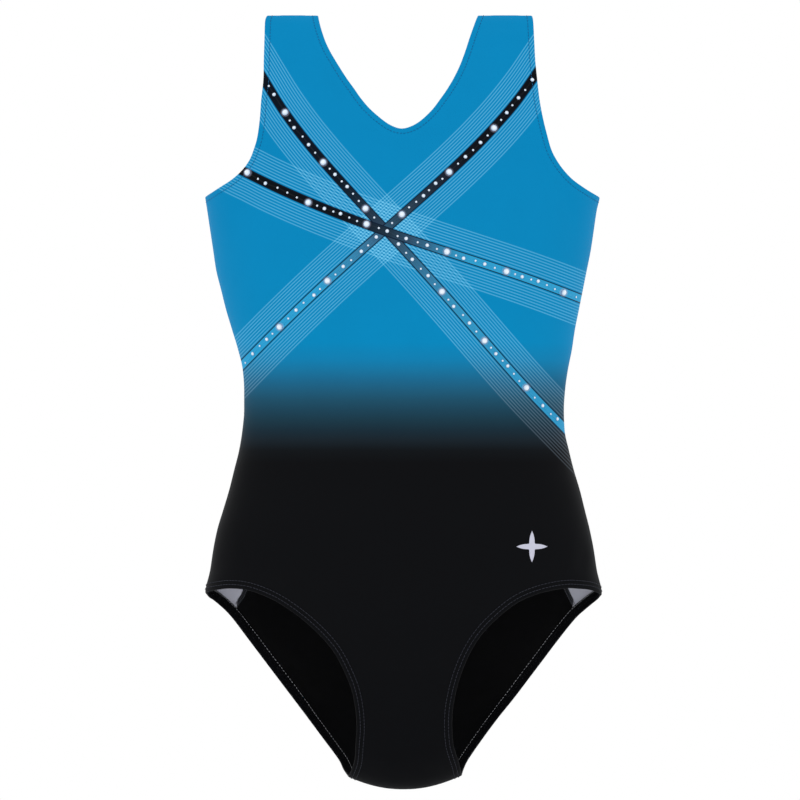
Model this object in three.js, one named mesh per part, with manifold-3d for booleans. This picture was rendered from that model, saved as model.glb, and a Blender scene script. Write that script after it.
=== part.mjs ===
// Gymnastics leotard: a sleeveless one-piece of stretch knit, shown in its worn shape as if it
// hung from its two straps.
// Units are millimetres, +Z is up, +X is the wearer's left, and the front of the garment faces -Y.
// The origin is the middle of the shoulder line, at the height of the strap tops, where the
// shoulder seams lie over whatever carries the garment.
//
// Every piece follows one body surface. At each height the surface is a rounded oval that has a
// half width, a front depth and a back depth. The side seams, the shoulder folds and the crotch
// fold all lie in the plane y = 0, where the front and back panels meet.

import * as THREE from 'three';
import { mergeVertices, mergeGeometries } from 'three/addons/utils/BufferGeometryUtils.js';
import Module from 'manifold-3d';

// ---------------------------------------------------------------- driving dimensions
const LENGTH = 619.6;        // shoulder line to the lowest point of the crotch
const OVAL_POWER = 2.0;      // 2 is an ellipse, larger is squarer
const CLOTH = 1.0;           // panel thickness, hem included
const GAP = 0.3;             // clearance between pieces that touch
const SEAM_GAP = 0.15;       // each panel stops this far from the plane y = 0
const INNER_TOP = -1.9;      // outer face of linings and elastics, measured from the cloth's outside
const LINING = 0.7;          // lining thickness
const ELASTIC = 0.7;         // elastic thickness
const ELASTIC_W = 6.5;       // neckline and armhole elastic width
const LEG_ELASTIC_W = 7.5;   // leg elastic width
const HEM_INSET = 10.8;      // linings stop this far from a leg edge
const THREAD_W = 0.8;        // visible thread row width
const THREAD_T = 0.45;       // visible thread row height
const THREAD_BASE = 0.55;    // underside of a thread row, above the cloth
const NEEDLE_1 = 3.0;        // first needle row, from the leg edge
const NEEDLE_2 = 6.2;        // second needle row
const TOPSTITCH = 4.4;       // neckline and armhole topstitch row, from the edge
const STONE_D = [1.7, 3.0, 5.2];   // small, medium and large rhinestone diameters
const STONE_H = [0.8, 1.1, 1.6];   // their heights above the film
const FILM_W = 1.1;          // transfer film that carries a row of stones
const FILM_T = 0.3;
const LABEL_W = 30;          // neck label
const LABEL_H = 34;
const LABEL_T = 0.8;

// Half width table: height, left edge, right edge of the torso, underarm to hip.
const SIDE = [
  [-145.6,-158.8,157.2],[-156,-157.2,154.8],[-172,-154.8,152.4],[-188,-152.4,150],[-204,-150,146.8],[-220,-146,143.6],[-236,-142,140.4],[-252,-137.2,137.2],
  [-268,-132.4,134.8],[-284,-128.7,131.6],[-300,-127.6,129.4],[-316,-127.6,128.4],[-332,-129,129],[-348,-131.6,132.4],[-364,-135.6,136.4],[-380,-139.6,141.2],
  [-396,-144.4,145.2],[-412,-149.2,149.2],[-428,-152.4,152.4],[-444,-154.8,154.8],[-463.2,-158.8,158.8]
];

// Half width of the same oval above the underarm and below the hip, where cloth is cut away.
const WIDTH_ABOVE = [[0, 168], [-40, 166], [-92, 162.5]];
const WIDTH_BELOW = [[-500, 158], [-540, 149], [-580, 131], [-619.6, 108]];

// Depth tables: height, depth.
const FRONT_DEPTH = [[0, 0], [-10, 12.4], [-30, 24], [-60, 38], [-92, 51], [-145, 67], [-190, 74], [-240, 69],
  [-310, 57], [-370, 60], [-420, 64], [-470, 64], [-520, 60], [-560, 51], [-590, 38], [-610, 21.5], [-619.6, 0]];
const BACK_DEPTH = [[0, 0], [-10, 13], [-30, 26], [-60, 40], [-92, 50], [-145, 60], [-190, 59], [-240, 53],
  [-310, 47], [-370, 57], [-420, 70], [-470, 80], [-520, 82], [-560, 73], [-590, 54], [-610, 31], [-619.6, 0]];

// Cut edges in front elevation, x and z.
const FRONT_ARM_L = [
  [-109.2,-0],[-110.6,-4.8],[-111.1,-20],[-111.6,-36],[-111.9,-52],[-113.6,-68],[-114.8,-84],[-116.8,-98.4],
  [-119.6,-108],[-122.8,-116],[-128.4,-124],[-137.2,-132],[-149.2,-139.6],[-158.8,-145.6]
];
const FRONT_ARM_R = [
  [102.8,-0],[103.6,-4.8],[104.4,-20],[105.2,-36],[106.8,-52],[108.6,-68],[111.6,-84],[115.2,-98.4],
  [118,-108],[122,-116],[127.6,-124],[135.2,-132],[146,-139.6],[157.2,-146]
];
const FRONT_NECK = [
  [-68.4,-0],[-67.4,-5.6],[-65.2,-13.6],[-62.4,-21.6],[-58.6,-29.6],[-54.4,-36.8],[-50,-44],[-44.8,-52],
  [-39.6,-59.2],[-34,-67.2],[-26.8,-75.6],[-17.2,-84],[-10,-88.8],[-2,-91.4],[6,-89.6],[14,-84.8],
  [22.8,-76.4],[29.2,-68],[34.8,-60],[39.6,-52],[44.4,-42.4],[47.6,-34.4],[50.4,-26.4],[53.2,-17.6],
  [56,-9.6],[58,-4],[59.6,-0]
];
const FRONT_LEG_L = [
  [-158.8,-461.6],[-154,-460.3],[-148.8,-459.4],[-140.2,-458.4],[-126.8,-459.4],[-113.4,-463.4],[-100.2,-469.6],[-85.2,-479.6],
  [-73.2,-489.6],[-62.8,-500],[-53.6,-510.4],[-46.8,-525.6],[-41.2,-540],[-38.2,-556],[-37.4,-570.4],[-38.2,-582.4],
  [-39.2,-596],[-42,-604.8],[-44.4,-609.6]
];
const FRONT_LEG_R = [
  [158.8,-463.2],[153.2,-460.5],[147.6,-459.2],[138.8,-458.4],[130.8,-458.2],[118,-460],[103.6,-464],[90,-470.4],
  [75.6,-481.6],[62.8,-494.8],[52.8,-510.4],[45.2,-528.8],[40.4,-548],[38.8,-564],[39.6,-581.6],[42,-591.2],
  [44.6,-599.2],[46.8,-608.8]
];
const BACK_LEG_L = [
  [-158.8,-462.4],[-155.6,-466.4],[-152.4,-468.4],[-143.6,-476],[-136.4,-484],[-124.4,-500],[-112.4,-516],[-100.4,-532],
  [-88.4,-548],[-76.4,-564],[-64.4,-580],[-52.4,-596],[-48.4,-604],[-44.4,-609.6]
];
const BACK_LEG_R = [
  [158.8,-464],[156.4,-466.8],[154.8,-468.4],[145.2,-476.4],[137.2,-484],[124.4,-500],[112.4,-516],[100.4,-532],
  [88.4,-548],[75.6,-564],[63.6,-580],[52.4,-596],[48.4,-604],[46.8,-608.8]
];
const BACK_ARM_L = [[-109.2, 0], [-109.8, -20], [-109.4, -40], [-109.4, -60], [-111, -80], [-114.5, -98], [-120.5, -114],
  [-129, -126], [-139, -134.6], [-149.5, -140.8], [-158.8, -145.6]];
const BACK_ARM_R = [[102.8, 0], [102.6, -20], [102.6, -40], [103.6, -60], [106, -80], [110.5, -98], [118, -114],
  [127, -126], [137, -134.8], [147, -141], [157.2, -146]];
const BACK_NECK = [[-68.4, 0], [-67.8, -14], [-66.8, -34], [-65, -54], [-62, -76], [-57.5, -98], [-50.5, -118], [-40, -136],
  [-26, -148.6], [-10, -154.6], [-3, -155.2], [4, -154.6], [20, -148.6], [33.5, -136], [43.5, -118], [50.4, -98], [55, -76],
  [57.8, -54], [59.2, -34], [59.8, -14], [59.6, 0]];

// Rhinestones in front elevation: x, z and size (0 small, 1 medium, 2 large).
const STONES_A_UPPER = [
  [-107.4,-57.6,0],[-103.3,-64.2,1],[-94.6,-78.2,2],[-90.8,-84.8,0],[-87.4,-90.6,1],[-80.5,-97.8,0],[-75.7,-104.3,1],[-70.4,-110.8,0],
  [-64,-118.4,2],[-58.8,-123.6,0],[-54.6,-128.2,1],[-49.2,-133.7,0],[-44.9,-137.9,1],[-40.2,-143.6,0],[-35.6,-149.4,0],[-30.3,-155.4,2],
  [-23.3,-162.6,0]
];
const STONES_A_LOWER = [
  [-4,-183.7,1],[2.1,-190.7,0],[7,-195.9,1],[13.8,-203.4,0],[19.6,-208.8,1],[24.9,-215.6,0],[30.6,-221.5,2],[35.7,-228,0],
  [39.9,-233.3,1],[47.4,-240.2,0],[52.5,-246.5,1],[58,-253.3,0],[64.5,-260.6,2],[69.7,-266.2,0],[73.6,-271,1],[79,-276.6,0],
  [83.1,-280.7,1],[87.9,-287,0],[92.3,-292.8,0],[97.9,-298.1,2],[104.6,-306.1,0],[111,-312.5,1],[117.4,-319.2,0],[122.6,-323.1,1]
];
const STONES_B_UPPER = [
  [102.7,-52.6,1],[97.1,-60.6,0],[91.8,-66.6,1],[86.9,-72.5,0],[82.4,-78.5,1],[77.9,-84.4,0],[72.2,-91,2],[67.1,-97,0],
  [61.4,-102.6,1],[55.5,-108.7,0],[49.4,-114,1],[43.5,-119.6,0],[36.4,-126.3,2],[31,-131.7,0],[25.6,-135.3,1],[20.3,-140.8,0],
  [15.9,-145.2,1],[10.1,-150.1,0],[4.4,-154.5,0],[-1.3,-160.1,2],[-9.1,-167,0]
];
const STONES_B_LOWER = [
  [-21.7,-178.1,1],[-28.2,-184.8,0],[-33.6,-189.5,1],[-41.7,-196.5,0],[-48,-201.5,1],[-54.2,-207.9,0],[-60.6,-212.9,2],[-66.5,-219.4,0],
  [-71.3,-224.3,1],[-79.6,-230.4,0],[-85.6,-236.2,1],[-91.8,-242.9,0],[-98.8,-249.6,2],[-104.4,-255,0],[-109,-259.4,1],[-114.6,-264.7,0],
  [-120.2,-270.9,1],[-126,-278.2,0]
];
const STONES_C = [
  [-124.2,-126.6,2],[-116.2,-131.5,0],[-110.3,-135,1],[-100.5,-138.6,0],[-92.6,-142.6,0],[-85,-146.5,0],[-75.9,-150.5,2],[-68.8,-153.1,0],
  [-63,-155.4,1],[-55.9,-157.8,0],[-50.2,-159.5,1],[-43.2,-162.6,0],[-37,-165.4,0],[-29.4,-167.8,2],[-19.7,-171,0],[-13,-173.4,1],
  [-4.7,-177.4,0],[2.1,-179.3,1],[11.3,-182.3,0],[18.9,-184.7,1],[26.6,-187.6,0],[34.5,-189.8,2],[41.8,-192.8,0],[47.8,-195,1],
  [57.4,-197,0],[64.7,-199.6,1],[72.7,-202.6,0],[81.9,-205.4,2],[88.9,-207.6,0],[94.5,-209.6,1],[101.7,-211.8,0],[107.3,-213.1,1],
  [114.2,-216.2,0],[120.6,-219.4,0],[127.8,-222.1,2],[137.6,-225.7,0]
];

// ---------------------------------------------------------------- curves and tables
function monotone(table) {
  // Monotone cubic through a table of [height, value], highest first or lowest first.
  const t = table.slice().sort((a, b) => a[0] - b[0]);
  const n = t.length, m = new Array(n), d = [];
  for (let i = 0; i < n - 1; i++) d.push((t[i + 1][1] - t[i][1]) / (t[i + 1][0] - t[i][0]));
  m[0] = d[0]; m[n - 1] = d[n - 2];
  for (let i = 1; i < n - 1; i++) {
    if (d[i - 1] * d[i] <= 0) m[i] = 0;
    else {
      const h0 = t[i][0] - t[i - 1][0], h1 = t[i + 1][0] - t[i][0];
      const w1 = 2 * h1 + h0, w2 = h1 + 2 * h0;
      m[i] = (w1 + w2) / (w1 / d[i - 1] + w2 / d[i]);
    }
  }
  return (x) => {
    if (x <= t[0][0]) return t[0][1] + m[0] * (x - t[0][0]);
    if (x >= t[n - 1][0]) return t[n - 1][1] + m[n - 1] * (x - t[n - 1][0]);
    let i = 0; while (x > t[i + 1][0]) i++;
    const h = t[i + 1][0] - t[i][0], s = (x - t[i][0]) / h, s2 = s * s, s3 = s2 * s;
    return (2 * s3 - 3 * s2 + 1) * t[i][1] + (s3 - 2 * s2 + s) * h * m[i]
      + (-2 * s3 + 3 * s2) * t[i + 1][1] + (s3 - s2) * h * m[i + 1];
  };
}

const leftOf = monotone([...WIDTH_ABOVE.map(([z, a]) => [z, -a - 0.8]), ...SIDE.map((r) => [r[0], r[1]]),
  ...WIDTH_BELOW.map(([z, a]) => [z, -a])]);
const rightOf = monotone([...WIDTH_ABOVE.map(([z, a]) => [z, a - 0.8]), ...SIDE.map((r) => [r[0], r[2]]),
  ...WIDTH_BELOW.map(([z, a]) => [z, a])]);
const centre = (h) => 0.5 * (leftOf(h) + rightOf(h));
const halfWidth = (h) => 0.5 * (rightOf(h) - leftOf(h));
// Depths are interpolated as squares, because a fold is round: depth squared is linear there.
const frontSq = monotone(FRONT_DEPTH.map(([z, d]) => [z, d * d]));
const backSq = monotone(BACK_DEPTH.map(([z, d]) => [z, d * d]));
const depthSq = (h, back) => Math.max(0, back ? backSq(h) : frontSq(h));

// The crotch fold rises towards the legs. lift is how far, at a distance x from the middle.
const smooth = (a, b, v) => { const s = Math.min(1, Math.max(0, (v - a) / (b - a))); return s * s * (3 - 2 * s); };
const lift = (x) => 40 * (1 - Math.exp(-0.2877 * Math.pow(Math.abs(x) / 44.4, 2.2)));
const liftWeight = (h) => smooth(-535, -619.6, h);
function levelOf(x, z) {           // height on the unlifted surface of a point at x, z
  let h = z;
  for (let i = 0; i < 12; i++) h = z - lift(x) * liftWeight(h);
  return h;
}

// Implicit form of the surface: zero on it, positive outside.
function field(p) {
  const h = levelOf(p.x, p.z);
  const u = (p.x - centre(h)) / halfWidth(h);
  const k = 1 - Math.pow(Math.abs(u), OVAL_POWER);
  const kk = k > 0 ? Math.pow(k, 2 / OVAL_POWER) : -Math.pow(-k, 2 / OVAL_POWER);
  const sq = h > 0 ? -16 * h : h < -LENGTH ? -60 * (-LENGTH - h) : depthSq(h, p.y > 0);
  return p.y * p.y - sq * kk;
}
function gradient(p) {
  const e = 0.05;
  const dx = field(new THREE.Vector3(p.x + e, p.y, p.z)) - field(new THREE.Vector3(p.x - e, p.y, p.z));
  const dz = field(new THREE.Vector3(p.x, p.y, p.z + e)) - field(new THREE.Vector3(p.x, p.y, p.z - e));
  return new THREE.Vector3(dx / (2 * e), 2 * p.y, dz / (2 * e));
}
function normalAt(p) { return gradient(p).normalize(); }
function project(p) {
  const q = p.clone();
  for (let i = 0; i < 8; i++) {
    const f = field(q), g = gradient(q), l = g.lengthSq();
    if (l < 1e-9) break;
    q.addScaledVector(g, -f / l);
    if (Math.abs(f) / Math.sqrt(l) < 1e-4) break;
  }
  return q;
}
function onSurface(x, z, back) {   // the point of the front or back at x, z
  const h = Math.min(0, Math.max(-LENGTH, levelOf(x, z)));
  const u = Math.min(1, Math.abs((x - centre(h)) / halfWidth(h)));
  const y = Math.sqrt(depthSq(h, back)) * Math.pow(Math.max(0, 1 - Math.pow(u, OVAL_POWER)), 1 / OVAL_POWER);
  return new THREE.Vector3(x, back ? y : -y, z);
}

// ---------------------------------------------------------------- solids
const wasm = await Module();
wasm.setup();

function geometryOf(positions, index) {
  const g = new THREE.BufferGeometry();
  g.setAttribute('position', new THREE.Float32BufferAttribute(positions, 3));
  g.setIndex(index);
  return g;
}
function solidOf(geometry) {
  const g = geometry.clone();
  g.deleteAttribute('normal'); g.deleteAttribute('uv');
  const m = mergeVertices(g, 1e-3);
  return new wasm.Manifold(new wasm.Mesh({ numProp: 3,
    vertProperties: new Float32Array(m.attributes.position.array), triVerts: new Uint32Array(m.index.array) }));
}
function geometryFrom(solid) {
  const m = solid.getMesh();
  return geometryOf(Array.from(m.vertProperties), Array.from(m.triVerts));
}

// Rows of the grid that the panels and linings share, closer together at the two folds.
const ROWS = [0, 0.4, 1.6, 4, 8, 15, 26, 42, 62, 84, 106, 127, 149, 178, 208, 236, 260, 284, 308, 332, 356, 380, 406, 434, 462,
  486, 510, 530, 548, 564, 578, 590, 600, 608, 614, 617.8, 619.6].map((q) => -q);
const COLUMNS = 24;
function gridPoint(i, j, back, offset) {
  const a = -Math.PI / 2 + Math.PI * j / COLUMNS, s = Math.sin(a), c = Math.max(0, Math.cos(a));
  const h = ROWS[i], e = 2 / OVAL_POWER;
  const x = centre(h) + halfWidth(h) * Math.sign(s) * Math.pow(Math.abs(s), e);
  const y = (j === 0 || j === COLUMNS) ? 0 : Math.sqrt(depthSq(h, back)) * Math.pow(c, e);
  const p = new THREE.Vector3(x, back ? y : -y, h + lift(x) * liftWeight(h));
  let n;
  if (i === 0) n = new THREE.Vector3(0, 0, 1);
  else if (i === ROWS.length - 1) n = normalAt(new THREE.Vector3(p.x, 0, p.z - 0.01)).setY(0).normalize();
  else n = normalAt(p);
  if (j === 0) n = new THREE.Vector3(-1, 0, 0);
  if (j === COLUMNS) n = new THREE.Vector3(1, 0, 0);
  if (n.z > 0 && i === ROWS.length - 1) n.negate();
  return p.addScaledVector(n, offset);
}
// One closed layer over the front or the back half, between two offsets from the surface.
function layer(back, outer, inner) {
  const pos = [], idx = [], nr = ROWS.length, nc = COLUMNS + 1;
  for (const d of [outer, inner])
    for (let i = 0; i < nr; i++) for (let j = 0; j < nc; j++) {
      const p = gridPoint(i, j, back, d); pos.push(p.x, p.y, p.z);
    }
  const at = (k, i, j) => k * nr * nc + i * nc + j;
  const quad = (a, b, c, d) => { idx.push(a, b, c, a, c, d); };
  for (let i = 0; i < nr - 1; i++) for (let j = 0; j < nc - 1; j++) {
    quad(at(0, i, j), at(0, i + 1, j), at(0, i + 1, j + 1), at(0, i, j + 1));
    quad(at(1, i, j), at(1, i, j + 1), at(1, i + 1, j + 1), at(1, i + 1, j));
  }
  for (let j = 0; j < nc - 1; j++) {
    quad(at(0, 0, j), at(0, 0, j + 1), at(1, 0, j + 1), at(1, 0, j));
    quad(at(0, nr - 1, j), at(1, nr - 1, j), at(1, nr - 1, j + 1), at(0, nr - 1, j + 1));
  }
  for (let i = 0; i < nr - 1; i++) {
    quad(at(0, i, 0), at(1, i, 0), at(1, i + 1, 0), at(0, i + 1, 0));
    quad(at(0, i, nc - 1), at(0, i + 1, nc - 1), at(1, i + 1, nc - 1), at(1, i, nc - 1));
  }
  if (back) for (let i = 0; i < idx.length; i += 3) [idx[i + 1], idx[i + 2]] = [idx[i + 2], idx[i + 1]];
  return solidOf(geometryOf(pos, idx));
}
// A prism over an outline in front elevation, on the front side or the back side of y = 0.
function prism(outline, back) {
  const shape = new THREE.Shape(outline.map(([x, z]) => new THREE.Vector2(x, z)));
  const g = new THREE.ExtrudeGeometry(shape, { depth: 200, bevelEnabled: false, steps: 1 });
  g.rotateX(Math.PI / 2);                       // the prism now runs from y = 0 to y = -200
  g.translate(0, back ? 200 + SEAM_GAP : -SEAM_GAP, 0);
  return solidOf(g);
}
const curve2 = (pts, n) => new THREE.SplineCurve(pts.map(([x, z]) => new THREE.Vector2(x, z)))
  .getSpacedPoints(n).map((v) => [v.x, v.y]);

// A path on the surface from a list of [x, z, back].
function surfacePath(pts) { return pts.map(([x, z, back]) => onSurface(x, z, back)); }
// Thin out a dense path: keep points where it turns, and at least one every maxStep.
function thin(path, closed, maxStep = 14, maxTurn = 0.24) {
  const out = [path[0]];
  let last = 0, dir = null;
  for (let i = 1; i < path.length; i++) {
    const step = path[i].distanceTo(path[last]);
    const d = path[i].clone().sub(path[i - 1]).normalize();
    if (!dir) dir = d.clone();
    if (step > maxStep || dir.angleTo(d) > maxTurn) { if (step > 1.2) { out.push(path[i]); last = i; dir = null; } }
  }
  if (!closed && out[out.length - 1] !== path[path.length - 1]) {
    if (out[out.length - 1].distanceTo(path[path.length - 1]) < 2) out.pop();
    out.push(path[path.length - 1]);
  }
  if (closed && out[out.length - 1].distanceTo(out[0]) < 2) out.pop();
  return out;
}
// Frames along a path: tangent, surface normal, and the in-surface direction beside it.
function frames(path, closed) {
  const n = path.length;
  return path.map((p, i) => {
    const a = path[closed ? (i + n - 1) % n : Math.max(0, i - 1)], b = path[closed ? (i + 1) % n : Math.min(n - 1, i + 1)];
    const t = b.clone().sub(a).normalize();
    const nn = normalAt(p);
    nn.addScaledVector(t, -nn.dot(t)).normalize();
    return { p, t, n: nn, b: new THREE.Vector3().crossVectors(nn, t).normalize() };
  });
}
// Move a path sideways over the surface by a distance, towards side (+1 or -1 along b).
function beside(path, closed, distance, side) {
  const steps = Math.max(1, Math.ceil(Math.abs(distance) / 2.5));
  let q = path;
  for (let k = 0; k < steps; k++)
    q = frames(q, closed).map((f) => project(f.p.clone().addScaledVector(f.b, side * distance / steps)));
  return q;
}
// A flat strip that follows a path on the surface. Widths and heights may vary along it.
function strip(path, closed, width, inner, outer) {
  const fr = frames(path, closed), pos = [], idx = [], n = fr.length;
  const lo = Array.isArray(inner) ? inner : fr.map(() => inner);
  const w = Array.isArray(width) ? width : fr.map(() => width);
  const o = Array.isArray(outer) ? outer : fr.map(() => outer);
  fr.forEach((f, i) => {
    const corner = (s, d) => {
      const q = f.p.clone().addScaledVector(f.b, s * w[i] / 2).addScaledVector(f.n, d);
      pos.push(q.x, q.y, q.z);
    };
    corner(-1, lo[i]); corner(1, lo[i]); corner(1, o[i]); corner(-1, o[i]);
  });
  const m = closed ? n : n - 1;
  for (let i = 0; i < m; i++) {
    const a = 4 * i, c = 4 * ((i + 1) % n);
    for (let k = 0; k < 4; k++) { const l = (k + 1) % 4; idx.push(a + k, c + k, c + l, a + k, c + l, a + l); }
  }
  if (!closed) { idx.push(0, 1, 2, 0, 2, 3); const e = 4 * (n - 1); idx.push(e, e + 2, e + 1, e, e + 3, e + 2); }
  const g = geometryOf(pos, idx);
  const s = solidOf(g);
  if (s.volume() < 0) for (let i = 0; i < idx.length; i += 3) [idx[i + 1], idx[i + 2]] = [idx[i + 2], idx[i + 1]];
  return geometryOf(pos, idx);
}

// A wider band that also bends across its width.
function band(path, closed, width, inner, outer, across = 2) {
  const rails = [];
  for (let k = 0; k <= across; k++) {
    const off = width * (k / across - 0.5);
    rails.push(path.map((p, i) => {
      const f = path.fr[i];
      const q = project(p.clone().addScaledVector(f.b, off));
      const n = normalAt(q); n.addScaledVector(f.t, -n.dot(f.t)).normalize();
      return { q, n };
    }));
  }
  const pos = [], idx = [], m = path.length, ring = 2 * (across + 1);
  for (let i = 0; i < m; i++) {
    for (let k = 0; k <= across; k++) { const v = rails[k][i].q.clone().addScaledVector(rails[k][i].n, inner); pos.push(v.x, v.y, v.z); }
    for (let k = across; k >= 0; k--) { const v = rails[k][i].q.clone().addScaledVector(rails[k][i].n, outer); pos.push(v.x, v.y, v.z); }
  }
  for (let i = 0; i < (closed ? m : m - 1); i++) {
    const a = ring * i, c = ring * ((i + 1) % m);
    for (let k = 0; k < ring; k++) { const l = (k + 1) % ring; idx.push(a + k, c + k, c + l, a + k, c + l, a + l); }
  }
  if (!closed) {
    const e = ring * (m - 1);
    for (let k = 0; k < across; k++) {
      idx.push(k, k + 1, ring - 2 - k, k, ring - 2 - k, ring - 1 - k);
      idx.push(e + k, e + ring - 2 - k, e + k + 1, e + k, e + ring - 1 - k, e + ring - 2 - k);
    }
  }
  const s = solidOf(geometryOf(pos, idx));
  if (s.volume() < 0) for (let i = 0; i < idx.length; i += 3) [idx[i + 1], idx[i + 2]] = [idx[i + 2], idx[i + 1]];
  return geometryOf(pos, idx);
}

// ---------------------------------------------------------------- outlines of the cut pieces
const fNeck = curve2(FRONT_NECK, 44), fArmL = curve2(FRONT_ARM_L, 26), fArmR = curve2(FRONT_ARM_R, 26);
const fLegL = curve2(FRONT_LEG_L, 34), fLegR = curve2(FRONT_LEG_R, 34);
const bNeck = curve2(BACK_NECK, 44), bArmL = curve2(BACK_ARM_L, 24), bArmR = curve2(BACK_ARM_R, 24);
const bLegL = curve2(BACK_LEG_L, 26), bLegR = curve2(BACK_LEG_R, 26);
const FAR = 190, TOP = 12, LOW = -660;
function outlineOf(neck, armL, armR, legL, legR) {
  return [
    [neck[0][0], TOP], ...neck, [neck[neck.length - 1][0], TOP],
    [armR[0][0], TOP], ...armR, [FAR, armR[armR.length - 1][1]],
    [FAR, legR[0][1]], ...legR, [legR[legR.length - 1][0], LOW],
    [legL[legL.length - 1][0], LOW], ...legL.slice().reverse(), [-FAR, legL[0][1]],
    [-FAR, armL[armL.length - 1][1]], ...armL.slice().reverse(), [armL[0][0], TOP],
  ];
}
const frontOutline = outlineOf(fNeck, fArmL, fArmR, fLegL, fLegR);
const backOutline = outlineOf(bNeck, bArmL, bArmR, bLegL, bLegR);

// ---------------------------------------------------------------- the model
const model = new THREE.Group();
const looks = {
  print: ['#0583bd', 0.62], black: ['#101318', 0.7], elastic: ['#e8e8e4', 0.8], thread: ['#8d939c', 0.6],
  threadBlue: ['#0a6c9c', 0.6], seam: ['#d9dcdf', 0.75], film: ['#dfe6f2', 0.15], label: ['#f2f2ee', 0.55],
  emblem: ['#cfd3da', 0.4],
};
function add(name, geometry, look) {
  const [colour, roughness] = looks[look];
  const mesh = new THREE.Mesh(geometry, new THREE.MeshStandardMaterial({ color: colour, roughness, metalness: 0 }));
  mesh.name = name;
  model.add(mesh);
  return mesh;
}

// Panels and linings.
add('front_panel', geometryFrom(layer(false, 0, -CLOTH).intersect(prism(frontOutline, false))), 'print');
add('back_panel', geometryFrom(layer(true, 0, -CLOTH).intersect(prism(backOutline, true))), 'print');

function inset2(pts, distance) {    // an edge moved into the cloth, towards the garment's middle line
  return pts.map((p, i) => {
    const a = pts[Math.max(0, i - 1)], b = pts[Math.min(pts.length - 1, i + 1)];
    const tx = b[0] - a[0], tz = b[1] - a[1], l = Math.hypot(tx, tz);
    const s = p[0] < 0 ? 1 : -1;
    return [p[0] - s * tz / l * distance, p[1] + s * tx / l * distance];
  });
}
const gussetL = inset2(curve2(FRONT_LEG_L.slice(8), 18), HEM_INSET);
const gussetR = inset2(curve2(FRONT_LEG_R.slice(8), 18), HEM_INSET);
const gussetOutline = [[gussetL[0][0], gussetL[0][1]], ...gussetL, [gussetL[gussetL.length - 1][0], LOW],
  [gussetR[gussetR.length - 1][0], LOW], ...gussetR.slice().reverse()].slice(1);
add('front_gusset_lining', geometryFrom(layer(false, INNER_TOP, INNER_TOP - LINING).intersect(prism(gussetOutline, false))), 'black');

const SEAT_TOP = -392;
const seatL = inset2(curve2(BACK_LEG_L.slice(3), 20), HEM_INSET).filter(([x]) => x > -131.5);
const seatR = inset2(curve2(BACK_LEG_R.slice(3), 20), HEM_INSET).filter(([x]) => x < 135);
const SEAT_SIDE_L = [[-112, SEAT_TOP], [-119, -425], [-126.8, -459], [-132, -471]];
const SEAT_SIDE_R = [[112, SEAT_TOP], [120, -425], [130.2, -458.4], [135.6, -470.4]];
const seatOutline = [...SEAT_SIDE_L, ...seatL, [seatL[seatL.length - 1][0], LOW], [seatR[seatR.length - 1][0], LOW],
  ...seatR.slice().reverse(), ...SEAT_SIDE_R.slice().reverse()];
add('seat_lining', geometryFrom(layer(true, INNER_TOP, INNER_TOP - LINING).intersect(prism(seatOutline, true))), 'black');

// Edge loops on the surface. The neckline runs over both shoulders, each armhole over its own
// shoulder and under the arm, each leg edge round the leg through the hip and the crotch.
const dense = (pts, n) => curve2(pts, n);
const withSide = (pts, back) => pts.map(([x, z]) => [x, Math.min(0, z), back]);
const neckLoop = surfacePath([...withSide(dense(FRONT_NECK, 150), false), ...withSide(dense(BACK_NECK, 170).reverse(), true).slice(1, -1)]);
const armLoop = (f, b) => surfacePath([...withSide(dense(f, 110), false), ...withSide(dense(b, 110).reverse(), true).slice(1, -1)]);
const legLoop = (f, b) => surfacePath([...withSide(dense(f, 170), false), ...withSide(dense(b, 140).reverse(), true).slice(1, -1)]);
const loops = {
  neck: neckLoop,
  arm_left: armLoop(FRONT_ARM_R, BACK_ARM_R), arm_right: armLoop(FRONT_ARM_L, BACK_ARM_L),
  leg_left: legLoop(FRONT_LEG_R, BACK_LEG_R), leg_right: legLoop(FRONT_LEG_L, BACK_LEG_L),
};
// Which way is into the cloth: the side of the loop that lies nearer a point well inside the cloth.
const inside = {
  neck: [0, -200, false], arm_left: [82, -60, false], arm_right: [-88, -60, false],
  leg_left: [0, -520, false], leg_right: [0, -520, false],
};
const edge = {};
for (const [key, path] of Object.entries(loops)) {
  // Even spacing first, so that frames are steady.
  const even = [];
  const c = new THREE.CatmullRomCurve3(path, true, 'centripetal');
  const count = Math.round(c.getLength() / 1.6);
  for (let i = 0; i < count; i++) even.push(project(c.getPointAt(i / count)));
  const probe = beside(even, true, 2, 1), other = beside(even, true, 2, -1);
  const target = onSurface(...inside[key]);
  const near = (q) => Math.min(...q.map((v) => v.distanceTo(target)));
  edge[key] = { path: even, side: near(probe) < near(other) ? 1 : -1 };
}
function edgeStrip(key, from, width, inner, outer, maxStep = 12) {
  const e = edge[key];
  const path = thin(beside(e.path, true, from + width / 2, e.side), true, maxStep, width < 2 ? 0.17 : 0.26);
  if (width < 2) return strip(path, true, width, inner, outer);
  path.fr = frames(path, true);
  return band(path, true, width, inner, outer, width < 5 ? 1 : 2);
}
const names = { arm_left: 'left', arm_right: 'right', leg_left: 'left', leg_right: 'right' };
add('neckline_elastic', edgeStrip('neck', 1.0, ELASTIC_W, INNER_TOP - ELASTIC, INNER_TOP), 'elastic');
add('neckline_topstitch', edgeStrip('neck', TOPSTITCH - THREAD_W / 2, THREAD_W, THREAD_BASE, THREAD_BASE + THREAD_T), 'threadBlue');
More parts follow.
